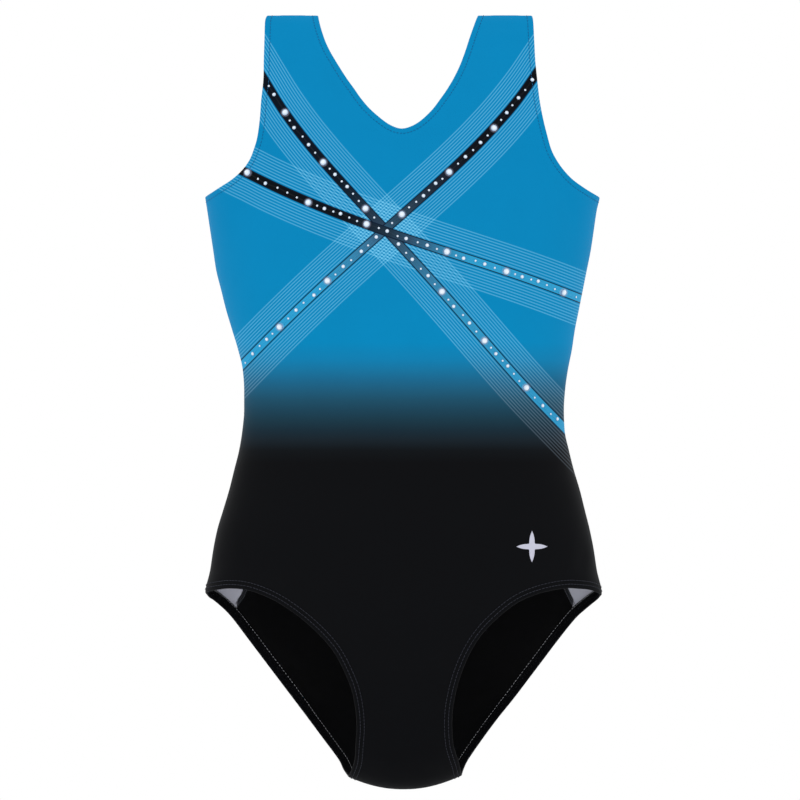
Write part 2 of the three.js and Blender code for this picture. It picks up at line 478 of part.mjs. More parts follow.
for (const key of ['arm_left', 'arm_right']) {
  add(`armhole_elastic_${names[key]}`, edgeStrip(key, 1.0, ELASTIC_W, INNER_TOP - ELASTIC, INNER_TOP), 'elastic');
  add(`armhole_topstitch_${names[key]}`, edgeStrip(key, TOPSTITCH - THREAD_W / 2, THREAD_W, THREAD_BASE, THREAD_BASE + THREAD_T), 'threadBlue');
}
for (const key of ['leg_left', 'leg_right']) {
  add(`leg_elastic_${names[key]}`, edgeStrip(key, 1.0, LEG_ELASTIC_W, INNER_TOP - ELASTIC, INNER_TOP, 10), 'elastic');
  add(`leg_stitch_outer_${names[key]}`, edgeStrip(key, NEEDLE_1 - THREAD_W / 2, THREAD_W, THREAD_BASE, THREAD_BASE + THREAD_T, 10), 'thread');
  add(`leg_stitch_inner_${names[key]}`, edgeStrip(key, NEEDLE_2 - THREAD_W / 2, THREAD_W, THREAD_BASE, THREAD_BASE + THREAD_T, 10), 'thread');
  add(`leg_looper_${names[key]}`, edgeStrip(key, NEEDLE_1 - 0.5, NEEDLE_2 - NEEDLE_1 + 1.0, INNER_TOP - ELASTIC - GAP - 0.75, INNER_TOP - ELASTIC - GAP - 0.25, 10), 'seam');
}

// Side seams: overlocked, inside, between the armhole elastic and the leg elastic.
for (const [name, of] of [['side_seam_left', rightOf], ['side_seam_right', leftOf]]) {
  const pts = [];
  for (let i = 0; i <= 60; i++) { const h = -158 - (448 - 158) * i / 60; pts.push(project(new THREE.Vector3(of(h), 0, h))); }
  add(name, strip(thin(pts, false, 16, 0.12), false, 5, INNER_TOP - 0.9, INNER_TOP), 'seam');
}
// Shoulder seams: across each strap on the fold.
for (const [name, x0, x1] of [['shoulder_seam_left', 69, 93.5], ['shoulder_seam_right', -99.5, -78]]) {
  const pts = [0, 1, 2, 3].map((i) => project(new THREE.Vector3(x0 + (x1 - x0) * i / 3, 0, -0.001)));
  add(name, strip(pts, false, 3, INNER_TOP - 1.1, INNER_TOP - 0.3), 'seam');
}
// Crotch seam: across the fold from leg hem to leg hem, inside the linings.
{
  const pts = [];
  for (let i = 0; i <= 8; i++) { const x = -33 + 67 * i / 8; pts.push(project(new THREE.Vector3(x, 0, -LENGTH + lift(x)))); }
  add('crotch_seam', strip(pts, false, 4, INNER_TOP - LINING - 1.5, INNER_TOP - LINING - 0.7), 'seam');
}
// Overlocked raw edges of the linings.
const liningThread = [INNER_TOP - LINING - 1.15, INNER_TOP - LINING - 0.7];
function liningEdge(name, pts, back) {
  const path = surfacePath(curve2(pts, 60).map(([x, z]) => [x, z, back]));
  add(name, strip(thin(path, false, 10), false, 2.6, ...liningThread), 'seam');
}
liningEdge('seat_lining_edge_left', SEAT_SIDE_R.map(([x, z]) => [x - 1.6, z]).map(([x, z], i) => [x, i === 0 ? z - 4 : i === 3 ? z + 3 : z]), true);
liningEdge('seat_lining_edge_right', SEAT_SIDE_L.map(([x, z]) => [x + 1.6, z]).map(([x, z], i) => [x, i === 0 ? z - 4 : i === 3 ? z + 3 : z]), true);
liningEdge('seat_lining_edge_top', [[-108, SEAT_TOP - 1.6], [-54, SEAT_TOP - 1.6], [0, SEAT_TOP - 1.6], [54, SEAT_TOP - 1.6], [108, SEAT_TOP - 1.6]], true);
{
  const a = gussetL[0], b = gussetR[0], top = Math.min(a[1], b[1]) - 1.8;
  liningEdge('front_lining_edge_top', [[a[0] + 9, top], [a[0] / 2, top], [0, top], [b[0] / 2, top], [b[0] - 9, top]], false);
}

// Rhinestones. A row is one piece: flat-back stones on a narrow strip of transfer film.
const STONE_BASE = 0.6;
function stoneRow(name, stones, overHem = false) {
  const pts = [], w = [], h = [], lo = [];
  const curve = new THREE.CatmullRomCurve3(stones.map(([x, z]) => onSurface(x, z, false)), false, 'centripetal');
  const at = (i, f) => curve.getPoint((i + f) / (stones.length - 1));
  stones.forEach(([, , size], i) => {
    const base = overHem && i === 0 ? THREAD_BASE + THREAD_T + 0.35 : STONE_BASE;
    const r = STONE_D[size] / 2, film = [FILM_W, base + FILM_T, base];
    const before = i > 0 ? curve.getPoint(i / (stones.length - 1)).distanceTo(curve.getPoint((i - 1) / (stones.length - 1))) : 8;
    const after = i < stones.length - 1 ? curve.getPoint(i / (stones.length - 1)).distanceTo(curve.getPoint((i + 1) / (stones.length - 1))) : 8;
    const push = (q, ww, hh, ll) => { pts.push(q); w.push(ww); h.push(hh); lo.push(ll); };
    if (i > 0) push(at(i, -Math.min(0.45, r / before)), ...film);
    push(at(i, 0), STONE_D[size], base + FILM_T + STONE_H[size], base);
    if (i < stones.length - 1) push(at(i, Math.min(0.45, r / after)), ...film);
  });
  const clean = pts.map((p) => project(p));
  // A stone ends each row: close it with a short film tab.
  const tab = (a, b, d) => project(a.clone().addScaledVector(a.clone().sub(b).normalize(), d));
  clean.unshift(tab(clean[0], clean[1], 1.6)); w.unshift(FILM_W); h.unshift(lo[0] + FILM_T); lo.unshift(lo[0]);
  clean.push(tab(clean[clean.length - 1], clean[clean.length - 2], 1.6)); w.push(FILM_W); h.push(STONE_BASE + FILM_T); lo.push(STONE_BASE);
  add(name, strip(clean, false, w, lo, h), 'film');
}
stoneRow('rhinestones_a_upper', STONES_A_UPPER, true);
stoneRow('rhinestones_a_lower', STONES_A_LOWER);
stoneRow('rhinestones_b_upper', STONES_B_UPPER, true);
stoneRow('rhinestones_b_lower', STONES_B_LOWER);
stoneRow('rhinestones_c', STONES_C, true);

// Hip emblem: a plain four-pointed star of heat-set film on the wearer's left hip.
{
  const cx = 102.5, cz = -425, star = [];
  for (let i = 0; i < 16; i++) {
    const a = Math.PI / 2 + i * Math.PI / 8;
    const r = i % 4 === 0 ? 12.5 : i % 4 === 2 ? 3.6 : 5.2;
    star.push([cx + r * Math.cos(a), cz + r * Math.sin(a)]);
  }
  add('hip_emblem', geometryFrom(layer(false, GAP + 0.3, GAP).intersect(prism(star, false))), 'emblem');
}

// Neck label: a folded blank label, sewn in by its top edge just under the back neckline elastic.
{
  const top = -165.5, x0 = -3 - LABEL_W / 2;
  const p = onSurface(-3, top, true), q = onSurface(-3, top - LABEL_H, true);
  const yTop = Math.min(p.y, q.y) - 3.9;
  const g = new THREE.BoxGeometry(LABEL_W, LABEL_T, LABEL_H);
  g.translate(0, 0, -LABEL_H / 2 - 0.8);   // clear of the stitching as it folds up
  const label = add('neck_label', g, 'label');
  label.position.set(x0 + LABEL_W / 2, yTop, top);
  const s = new THREE.BoxGeometry(LABEL_W - 2, 0.5, 0.6);
  const stitch = add('neck_label_stitch', s, 'seam');
  stitch.position.set(x0 + LABEL_W / 2, yTop, top + 0.25);
}

export default model;
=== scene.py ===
import math
import bpy
import numpy as np
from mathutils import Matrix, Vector
from mathutils.geometry import delaunay_2d_cdt


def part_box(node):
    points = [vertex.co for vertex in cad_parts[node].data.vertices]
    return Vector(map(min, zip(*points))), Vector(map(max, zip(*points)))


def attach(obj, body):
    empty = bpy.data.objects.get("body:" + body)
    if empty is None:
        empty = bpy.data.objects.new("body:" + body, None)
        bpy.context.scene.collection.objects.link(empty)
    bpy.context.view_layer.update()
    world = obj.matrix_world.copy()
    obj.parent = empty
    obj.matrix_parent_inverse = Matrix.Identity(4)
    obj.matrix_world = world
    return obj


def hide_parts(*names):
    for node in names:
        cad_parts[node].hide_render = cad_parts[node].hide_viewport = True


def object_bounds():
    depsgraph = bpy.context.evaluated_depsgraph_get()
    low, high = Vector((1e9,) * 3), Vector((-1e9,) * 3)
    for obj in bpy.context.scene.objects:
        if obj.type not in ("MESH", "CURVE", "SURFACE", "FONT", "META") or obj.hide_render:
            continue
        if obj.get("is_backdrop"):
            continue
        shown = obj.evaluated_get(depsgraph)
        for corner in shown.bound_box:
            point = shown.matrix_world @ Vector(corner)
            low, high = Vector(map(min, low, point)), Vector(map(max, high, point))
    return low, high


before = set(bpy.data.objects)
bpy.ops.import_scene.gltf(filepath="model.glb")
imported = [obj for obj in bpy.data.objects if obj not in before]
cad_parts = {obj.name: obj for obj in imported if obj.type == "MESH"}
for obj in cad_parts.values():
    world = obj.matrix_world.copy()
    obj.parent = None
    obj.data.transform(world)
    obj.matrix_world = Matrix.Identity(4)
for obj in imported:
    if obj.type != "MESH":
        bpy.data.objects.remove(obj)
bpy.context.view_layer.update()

RNG = np.random.default_rng(7)
MM = 0.001

# ------------------------------------------------------------------ tables (mm)
SIDE = [
  [-145.6,-158.8,157.2],[-156,-157.2,154.8],[-172,-154.8,152.4],[-188,-152.4,150],[-204,-150,146.8],[-220,-146,143.6],[-236,-142,140.4],[-252,-137.2,137.2],
  [-268,-132.4,134.8],[-284,-128.7,131.6],[-300,-127.6,129.4],[-316,-127.6,128.4],[-332,-129,129],[-348,-131.6,132.4],[-364,-135.6,136.4],[-380,-139.6,141.2],
  [-396,-144.4,145.2],[-412,-149.2,149.2],[-428,-152.4,152.4],[-444,-154.8,154.8],[-463.2,-158.8,158.8]
]
FRONT_ARM_L = [
  [-109.2,-0],[-110.6,-4.8],[-111.1,-20],[-111.6,-36],[-111.9,-52],[-113.6,-68],[-114.8,-84],[-116.8,-98.4],
  [-119.6,-108],[-122.8,-116],[-128.4,-124],[-137.2,-132],[-149.2,-139.6],[-158.8,-145.6]
]
FRONT_ARM_R = [
  [102.8,-0],[103.6,-4.8],[104.4,-20],[105.2,-36],[106.8,-52],[108.6,-68],[111.6,-84],[115.2,-98.4],
  [118,-108],[122,-116],[127.6,-124],[135.2,-132],[146,-139.6],[157.2,-146]
]
FRONT_NECK = [
  [-68.4,-0],[-67.4,-5.6],[-65.2,-13.6],[-62.4,-21.6],[-58.6,-29.6],[-54.4,-36.8],[-50,-44],[-44.8,-52],
  [-39.6,-59.2],[-34,-67.2],[-26.8,-75.6],[-17.2,-84],[-10,-88.8],[-2,-91.4],[6,-89.6],[14,-84.8],
  [22.8,-76.4],[29.2,-68],[34.8,-60],[39.6,-52],[44.4,-42.4],[47.6,-34.4],[50.4,-26.4],[53.2,-17.6],
  [56,-9.6],[58,-4],[59.6,-0]
]
FRONT_LEG_L = [
  [-158.8,-461.6],[-154,-460.3],[-148.8,-459.4],[-140.2,-458.4],[-126.8,-459.4],[-113.4,-463.4],[-100.2,-469.6],[-85.2,-479.6],
  [-73.2,-489.6],[-62.8,-500],[-54.3,-511.1],[-46.8,-525.6],[-41.2,-540],[-38.2,-556],[-37.4,-570.4],[-38.2,-582.4],
  [-39.2,-596],[-42,-604.8],[-44.4,-609.6]
]
FRONT_LEG_R = [
  [158.8,-463.2],[153.2,-460.5],[147.6,-459.2],[138.8,-458.4],[130.8,-458.2],[118,-460],[103.6,-464],[90,-470.4],
  [75.6,-481.6],[62.8,-494.8],[52.8,-510.4],[45.2,-528.8],[40.4,-548],[38.8,-564],[39.6,-581.6],[42,-591.2],
  [44.6,-599.2],[46.8,-608.8]
]
BACK_LEG_L = [
  [-158.8,-462.4],[-155.6,-466.4],[-152.4,-468.4],[-143.6,-476],[-136.4,-484],[-124.4,-500],[-112.4,-516],[-100.4,-532],
  [-88.4,-548],[-76.4,-564],[-64.4,-580],[-52.4,-596],[-48.4,-604],[-44.4,-609.6]
]
BACK_LEG_R = [
  [158.8,-464],[156.4,-466.8],[154.8,-468.4],[145.2,-476.4],[137.2,-484],[124.4,-500],[112.4,-516],[100.4,-532],
  [88.4,-548],[75.6,-564],[63.6,-580],[52.4,-596],[48.4,-604],[46.8,-608.8]
]
STONES_A_UPPER = [
  [-107.4,-57.6,0],[-103.3,-64.2,1],[-94.6,-78.2,2],[-90.8,-84.8,0],[-87.4,-90.6,1],[-80.5,-97.8,0],[-75.7,-104.3,1],[-70.4,-110.8,0],
  [-64,-118.4,2],[-58.8,-123.6,0],[-54.6,-128.2,1],[-49.2,-133.7,0],[-44.9,-137.9,1],[-40.2,-143.6,0],[-35.6,-149.4,0],[-30.3,-155.4,2],
  [-23.3,-162.6,0]
]
STONES_A_LOWER = [
  [-4,-183.7,1],[2.1,-190.7,0],[7,-195.9,1],[13.8,-203.4,0],[19.6,-208.8,1],[24.9,-215.6,0],[30.6,-221.5,2],[35.7,-228,0],
  [39.9,-233.3,1],[47.4,-240.2,0],[52.5,-246.5,1],[58,-253.3,0],[64.5,-260.6,2],[69.7,-266.2,0],[73.6,-271,1],[79,-276.6,0],
  [83.1,-280.7,1],[87.9,-287,0],[92.3,-292.8,0],[97.9,-298.1,2],[104.6,-306.1,0],[111,-312.5,1],[117.4,-319.2,0],[122.6,-323.1,1]
]
STONES_B_UPPER = [
  [102.7,-52.6,1],[97.1,-60.6,0],[91.8,-66.6,1],[86.9,-72.5,0],[82.4,-78.5,1],[77.9,-84.4,0],[72.2,-91,2],[67.1,-97,0],
  [61.4,-102.6,1],[55.5,-108.7,0],[49.4,-114,1],[43.5,-119.6,0],[36.4,-126.3,2],[31,-131.7,0],[25.6,-135.3,1],[20.3,-140.8,0],
  [15.9,-145.2,1],[10.1,-150.1,0],[4.4,-154.5,0],[-1.3,-160.1,2],[-9.1,-167,0]
]
STONES_B_LOWER = [
  [-21.7,-178.1,1],[-28.2,-184.8,0],[-33.6,-189.5,1],[-41.7,-196.5,0],[-48,-201.5,1],[-54.2,-207.9,0],[-60.6,-212.9,2],[-66.5,-219.4,0],
  [-71.3,-224.3,1],[-79.6,-230.4,0],[-85.6,-236.2,1],[-91.8,-242.9,0],[-98.8,-249.6,2],[-104.4,-255,0],[-109,-259.4,1],[-114.6,-264.7,0],
  [-120.2,-270.9,1],[-126,-278.2,0]
]
STONES_C = [
  [-124.2,-126.6,2],[-116.2,-131.5,0],[-110.3,-135,1],[-100.5,-138.6,0],[-92.6,-142.6,0],[-85,-146.5,0],[-75.9,-150.5,2],[-68.8,-153.1,0],
  [-63,-155.4,1],[-55.9,-157.8,0],[-50.2,-159.5,1],[-43.2,-162.6,0],[-37,-165.4,0],[-29.4,-167.8,2],[-19.7,-171,0],[-13,-173.4,1],
  [-4.7,-177.4,0],[2.1,-179.3,1],[11.3,-182.3,0],[18.9,-184.7,1],[26.6,-187.6,0],[34.5,-189.8,2],[41.8,-192.8,0],[47.8,-195,1],
  [57.4,-197,0],[64.7,-199.6,1],[72.7,-202.6,0],[81.9,-205.4,2],[88.9,-207.6,0],[94.5,-209.6,1],[101.7,-211.8,0],[107.3,-213.1,1],
  [114.2,-216.2,0],[120.6,-219.4,0],[127.8,-222.1,2],[137.6,-225.7,0]
]
WIDTH_ABOVE = [[0, 168], [-40, 166], [-92, 162.5]]
WIDTH_BELOW = [[-500, 158], [-540, 149], [-580, 131], [-619.6, 108]]
FRONT_DEPTH = [[0, 0], [-10, 12.4], [-30, 24], [-60, 38], [-92, 51], [-145, 67], [-190, 74], [-240, 69],
               [-310, 57], [-370, 60], [-420, 64], [-470, 64], [-520, 60], [-560, 51], [-590, 38], [-610, 21.5], [-619.6, 0]]
BACK_DEPTH = [[0, 0], [-10, 13], [-30, 26], [-60, 40], [-92, 50], [-145, 60], [-190, 59], [-240, 53],
              [-310, 47], [-370, 57], [-420, 70], [-470, 80], [-520, 82], [-560, 73], [-590, 54], [-610, 31], [-619.6, 0]]
BACK_ARM_L = [[-109.2, 0], [-109.8, -20], [-109.4, -40], [-109.4, -60], [-111, -80], [-114.5, -98], [-120.5, -114],
              [-129, -126], [-139, -134.6], [-149.5, -140.8], [-158.8, -145.6]]
BACK_ARM_R = [[102.8, 0], [102.6, -20], [102.6, -40], [103.6, -60], [106, -80], [110.5, -98], [118, -114],
              [127, -126], [137, -134.8], [147, -141], [157.2, -146]]
BACK_NECK = [[-68.4, 0], [-67.8, -14], [-66.8, -34], [-65, -54], [-62, -76], [-57.5, -98], [-50.5, -118], [-40, -136],
             [-26, -148.6], [-10, -154.6], [-3, -155.2], [4, -154.6], [20, -148.6], [33.5, -136], [43.5, -118], [50.4, -98],
             [55, -76], [57.8, -54], [59.2, -34], [59.8, -14], [59.6, 0]]
LENGTH = 619.6
CLOTH = 0.6            # knit thickness
HEM_RAIL = 9.0         # the hem bands are built out to this distance from an edge


def monotone(table):
    t = sorted([list(map(float, r)) for r in table])
    xs = np.array([r[0] for r in t]); ys = np.array([r[1] for r in t])
    d = np.diff(ys) / np.diff(xs)
    m = np.zeros(len(xs)); m[0] = d[0]; m[-1] = d[-1]
    for i in range(1, len(xs) - 1):
        if d[i - 1] * d[i] > 0:
            h0, h1 = xs[i] - xs[i - 1], xs[i + 1] - xs[i]
            w1, w2 = 2 * h1 + h0, h1 + 2 * h0
            m[i] = (w1 + w2) / (w1 / d[i - 1] + w2 / d[i])

    def f(x):
        x = np.asarray(x, float)
        i = np.clip(np.searchsorted(xs, x) - 1, 0, len(xs) - 2)
        h = xs[i + 1] - xs[i]; s = (x - xs[i]) / h
        sc = np.clip(s, 0, 1)
        v = ((2 * sc**3 - 3 * sc**2 + 1) * ys[i] + (sc**3 - 2 * sc**2 + sc) * h * m[i]
             + (-2 * sc**3 + 3 * sc**2) * ys[i + 1] + (sc**3 - sc**2) * h * m[i + 1])
        v = np.where(s < 0, ys[0] + m[0] * (x - xs[0]), v)
        return np.where(s > 1, ys[-1] + m[-1] * (x - xs[-1]), v)
    return f


left_of = monotone([[z, -a - 0.8] for z, a in WIDTH_ABOVE] + [[r[0], r[1]] for r in SIDE] + [[z, -a] for z, a in WIDTH_BELOW])
right_of = monotone([[z, a - 0.8] for z, a in WIDTH_ABOVE] + [[r[0], r[2]] for r in SIDE] + [[z, a] for z, a in WIDTH_BELOW])
front_sq = monotone([[z, d * d] for z, d in FRONT_DEPTH])
back_sq = monotone([[z, d * d] for z, d in BACK_DEPTH])
centre = lambda h: 0.5 * (left_of(h) + right_of(h))
half_width = lambda h: 0.5 * (right_of(h) - left_of(h))


def depth_sq(h, back):
    v = np.where(back, back_sq(h), front_sq(h))
    v = np.where(h > 0, -16.0 * h, v)
    return np.where(h < -LENGTH, -60.0 * (-LENGTH - h), v)


def smooth(a, b, v):
    s = np.clip((v - a) / (b - a), 0, 1)
    return s * s * (3 - 2 * s)


lift = lambda x: 40 * (1 - np.exp(-0.2877 * (np.abs(x) / 44.4) ** 2.2))
lift_w = lambda h: smooth(-535, -619.6, h)


def level_of(x, z):
    h = np.array(z, float)
    for _ in range(12):
        h = z - lift(x) * lift_w(h)
    return h


def field(p):
    h = level_of(p[..., 0], p[..., 2])
    u = (p[..., 0] - centre(h)) / half_width(h)
    return p[..., 1] ** 2 - depth_sq(h, p[..., 1] > 0) * (1 - u * u)


def gradient(p):
    e = 0.05
    ex = np.array([e, 0, 0]); ez = np.array([0, 0, e])
    g = np.empty_like(p)
    g[..., 0] = (field(p + ex) - field(p - ex)) / (2 * e)
    g[..., 1] = 2 * p[..., 1]
    g[..., 2] = (field(p + ez) - field(p - ez)) / (2 * e)
    return g


def unit(v):
    return v / np.maximum(np.linalg.norm(v, axis=-1, keepdims=True), 1e-12)


def normal_at(p):
    return unit(gradient(p))


def project(p):
    q = p.copy()
    for _ in range(7):
        f = field(q); g = gradient(q)
        q = q - g * (f / np.maximum((g * g).sum(-1), 1e-9))[..., None]
    return q


def on_surface(x, z, back):
    x = np.asarray(x, float); z = np.asarray(z, float)
    h = np.clip(level_of(x, z), -LENGTH, 0)
    u = np.clip(np.abs((x - centre(h)) / half_width(h)), 0, 1)
    y = np.sqrt(np.maximum(0, depth_sq(h, back))) * np.sqrt(1 - u * u)
    return np.stack([x, np.where(back, y, -y), z], -1)


# Flat coordinates of a half: s goes round the body, v goes down it. Both are close to arc length.
_phi = np.linspace(-math.pi / 2, math.pi / 2, 721)
_sp = np.concatenate([[0], np.cumsum(np.sqrt((146 * np.cos(_phi[1:])) ** 2 + (62 * np.sin(_phi[1:])) ** 2) * np.diff(_phi))])
_sp -= _sp[-1] / 2
S_MAX = _sp[-1]
_q = np.concatenate([np.linspace(0, 1, 60) ** 2 * 30, np.linspace(30, 580, 560)[1:], (LENGTH - np.linspace(1, 0, 80) ** 2 * (LENGTH - 580))[1:]])


def _profile(back):
    z = -_q; d = np.sqrt(np.maximum(0, depth_sq(z, back)))
    return np.concatenate([[0], np.cumsum(np.hypot(np.diff(z), np.diff(d)))])


_v = {False: _profile(False), True: _profile(True)}
V_MAX = {k: v[-1] for k, v in _v.items()}


def to_flat(p, back):
    h = np.clip(level_of(p[..., 0], p[..., 2]), -LENGTH, 0)
    u = np.clip((p[..., 0] - centre(h)) / half_width(h), -1, 1)
    d = np.sqrt(np.maximum(0, depth_sq(h, back)))
    phi = np.where(d > 3, np.arctan2(u, np.abs(p[..., 1]) / np.maximum(d, 1e-6)), np.arcsin(u))
    return np.interp(phi, _phi, _sp), np.interp(-h, _q, _v[back])


def from_flat(s, v, back):
    phi = np.interp(s, _sp, _phi); h = -np.interp(v, _v[back], _q)
    d = np.sqrt(np.maximum(0, depth_sq(h, back)))
    x = centre(h) + half_width(h) * np.sin(phi)
    y = d * np.cos(phi)
    y = np.where(np.abs(np.abs(phi) - math.pi / 2) < 1e-9, 0, y)
    return np.stack([x, y if back else -y, h + lift(x) * lift_w(h)], -1)


def spline(pts, n):
    """n points evenly spaced along a Catmull-Rom curve through pts."""
    p = np.array(pts, float)
    e = np.vstack([2 * p[0] - p[1], p, 2 * p[-1] - p[-2]])
    t = np.linspace(0, 1, 14)[:-1, None]
    out = []
    for i in range(1, len(e) - 2):
        a, b, c, d = e[i - 1], e[i], e[i + 1], e[i + 2]
        out.append(0.5 * (2 * b + (c - a) * t + (2 * a - 5 * b + 4 * c - d) * t**2 + (3 * b - a - 3 * c + d) * t**3))
    out = np.vstack(out + [p[-1:]])
    l = np.concatenate([[0], np.cumsum(np.linalg.norm(np.diff(out, axis=0), axis=1))])
    w = np.linspace(0, l[-1], n)
    return np.stack([np.interp(w, l, out[:, k]) for k in range(out.shape[1])], 1)


def resample(p, n):
    l = np.concatenate([[0], np.cumsum(np.linalg.norm(np.diff(p, axis=0), axis=1))])
    w = np.linspace(0, l[-1], n)
    return np.stack([np.interp(w, l, p[:, k]) for k in range(3)], 1)


# ------------------------------------------------------------------ hem loops
HEM_STEP = 2.4


class Loop:
    """A garment edge: a closed loop over the front and the back, crossing y = 0 twice."""

    def __init__(self, front, back, inside, hem):
        f = on_surface(*spline(front, 400).T, False); b = on_surface(*spline(back, 400).T, True)
        f[0, 1] = f[-1, 1] = b[0, 1] = b[-1, 1] = 0
        nf = int(round(np.linalg.norm(np.diff(f, axis=0), axis=1).sum() / HEM_STEP))
        nb = int(round(np.linalg.norm(np.diff(b, axis=0), axis=1).sum() / HEM_STEP))
        f = resample(f, nf); b = resample(b, nb)[::-1]
        f[1:-1] = project(f[1:-1]); b[1:-1] = project(b[1:-1])
        self.nf = nf
        p = np.vstack([f, b[1:-1]])
        p[0, 1] = 0; p[nf - 1, 1] = 0
        self.n = len(p); self.hem = hem
        target = on_surface(np.array(inside[0]), np.array(inside[1]), False)
        best = None
        for side in (1, -1):
            q = self.step(p, 2.0, side)
            d = np.linalg.norm(q - target, axis=1).min()
            if best is None or d < best[0]:
                best = (d, side)
        self.side = best[1]
        self.rails = [p]
        for _ in range(30):
            self.rails.append(self.step(self.rails[-1], 1.0, self.side))
        self.rails = np.array(self.rails)
        self.normals = np.array([normal_at(r) for r in self.rails[:14]])
        self.arc = np.concatenate([[0], np.cumsum(np.linalg.norm(np.diff(p, axis=0), axis=1))])
        self.total = self.arc[-1] + np.linalg.norm(p[0] - p[-1])

    def frame(self, p):
        t = unit(np.roll(p, -1, 0) - np.roll(p, 1, 0))
        for i in (0, self.nf - 1):
            t[i] = (0, math.copysign(1, t[i][1]), 0)
        n = normal_at(p)
        n = unit(n - t * (n * t).sum(-1, keepdims=True))
        return t, n, np.cross(n, t)

    def step(self, p, dist, side):
        t, n, b = self.frame(p)
        q = p + b * side * dist
        q = project(q)
        for i in (0, self.nf - 1):
            q[i, 1] = 0
        # keep spacing calm where the edge bends
        m = 0.5 * (np.roll(q, 1, 0) + np.roll(q, -1, 0))
        k = np.ones(len(q), bool); k[[0, self.nf - 1]] = False
        q[k] = q[k] + 0.12 * (m[k] - q[k])
        q[k] = project(q[k])
        return q

    def at(self, e, d=0.0, idx=None):
        """Points at distance e from the edge and offset d from the surface."""
        e = max(0.0, e); i = min(int(e), 12); f = e - i
        p = self.rails[i] * (1 - f) + self.rails[i + 1] * f
        n = unit(self.normals[i] * (1 - f) + self.normals[i + 1] * f)
        q = p + n * d
        return q if idx is None else q[idx]


LOOPS = {
    "neck": Loop(FRONT_NECK, BACK_NECK, (0, -200), 6.8),
    "arm_left": Loop(FRONT_ARM_R, BACK_ARM_R, (82, -60), 6.8),
    "arm_right": Loop(FRONT_ARM_L, BACK_ARM_L, (-88, -60), 6.8),
    "leg_left": Loop(FRONT_LEG_R, BACK_LEG_R, (0, -520), 7.8),
    "leg_right": Loop(FRONT_LEG_L, BACK_LEG_L, (0, -520), 7.8),
}


# ------------------------------------------------------------------ cloth: how the knit settles
def in_poly(pts, poly):
    x, y = pts[:, 0], pts[:, 1]; res = np.zeros(len(pts), bool)
    a = poly; b = np.roll(poly, -1, 0)
    for (x0, y0), (x1, y1) in zip(a, b):
        if y0 == y1:
            continue
        c = (y0 > y) != (y1 > y)
        xi = x0 + (y - y0) * (x1 - x0) / (y1 - y0)
        res ^= c & (x < xi)
    return res


def dist_poly(pts, poly):
    best = np.full(len(pts), 1e9)
    for a, b in zip(poly, np.roll(poly, -1, 0)):
        ab = b - a; l = max((ab * ab).sum(), 1e-12)
        t = np.clip(((pts - a) @ ab) / l, 0, 1)
        best = np.minimum(best, np.linalg.norm(pts - a - t[:, None] * ab, axis=1))
    return best


def seam_line(p, q, n):
    """Points on the y = 0 line of the surface between two crossing points p and q."""
    w = np.linspace(0, 1, n)[1:-1, None]
    m = p + (q - p) * w
    if abs(p[2]) < 2 and abs(q[2]) < 2:                     # shoulder
        return np.stack([m[:, 0], 0 * m[:, 0], 0 * m[:, 0]], 1)
    if p[2] < -580:                                          # crotch
        return np.stack([m[:, 0], 0 * m[:, 0], -LENGTH + lift(m[:, 0])], 1)
    x = left_of(m[:, 2]) if p[0] < 0 else right_of(m[:, 2])
    return np.stack([x, 0 * x, m[:, 2]], 1)


# Front outlines run left to right at the neck and top to bottom elsewhere; so do the back ones.
def half_parts(name, back):
    lp = LOOPS[name]
    idx = np.concatenate([[0], np.arange(lp.n - 1, lp.nf - 2, -1)]) if back else np.arange(lp.nf)
    return lp, idx


ROUND = [("neck", 1), ("arm_left", 1), ("leg_left", 1), ("leg_right", -1), ("arm_right", -1)]


def outline(back, e, step):
    """Closed boundary of a half at distance e from its hems: points, and what each belongs to."""
    pts, tag = [], []
    ends = []
    for name, way in ROUND:
        lp, idx = half_parts(name, back)
        idx = idx[::way]
        ends.append((name, lp, idx, lp.at(e)[idx]))
    for k, (name, lp, idx, p) in enumerate(ends):
        pts.append(p); tag += [(name, int(i)) for i in idx]
        q = ends[(k + 1) % len(ends)][3][0]
        n = max(2, int(round(np.linalg.norm(q - p[-1]) / step)) + 1)
        s = seam_line(p[-1], q, n)
        pts.append(s); tag += [("seam", -1)] * len(s)
    return np.vstack(pts), tag


def lattice(poly, step, keep, extra=()):
    lo, hi = poly.min(0), poly.max(0)
    rows = []
    y = lo[1]; k = 0
    while y < hi[1]:
        x = np.arange(lo[0] + (step / 2 if k % 2 else 0), hi[0], step)
        rows.append(np.stack([x, np.full_like(x, y)], 1)); y += step * 0.866; k += 1
    g = np.vstack(rows)
    g = g[in_poly(g, poly)]
    g = g[dist_poly(g, poly) > keep]
    if len(extra):
        ex = np.array(extra)
        ex = ex[in_poly(ex, poly)]
        ex = ex[dist_poly(ex, poly) > 0.3]
        # thin the lattice beside the extra rows
        near = np.zeros(len(g), bool)
        for i in range(0, len(g), 400):
            d = np.linalg.norm(g[i:i + 400, None] - ex[None], axis=2).min(1)
            near[i:i + 400] = d < step * 0.55
        g = np.vstack([g[~near], ex])
    return g


def triangulate(poly, inner):
    n = len(poly)
    v = [Vector((float(a), float(b))) for a, b in np.vstack([poly, inner])]
    out = delaunay_2d_cdt(v, [(i, (i + 1) % n) for i in range(n)], [], 0, 1e-7, True)
    verts, faces, orig = out[0], out[2], out[3]
    xy = np.array([[a.x, a.y] for a in verts])
    src = [o[0] if o else -1 for o in orig]
    tri = np.array([list(f) for f in faces])
    tri = tri[in_poly(xy[tri].mean(1), poly)]
    return xy, tri, src


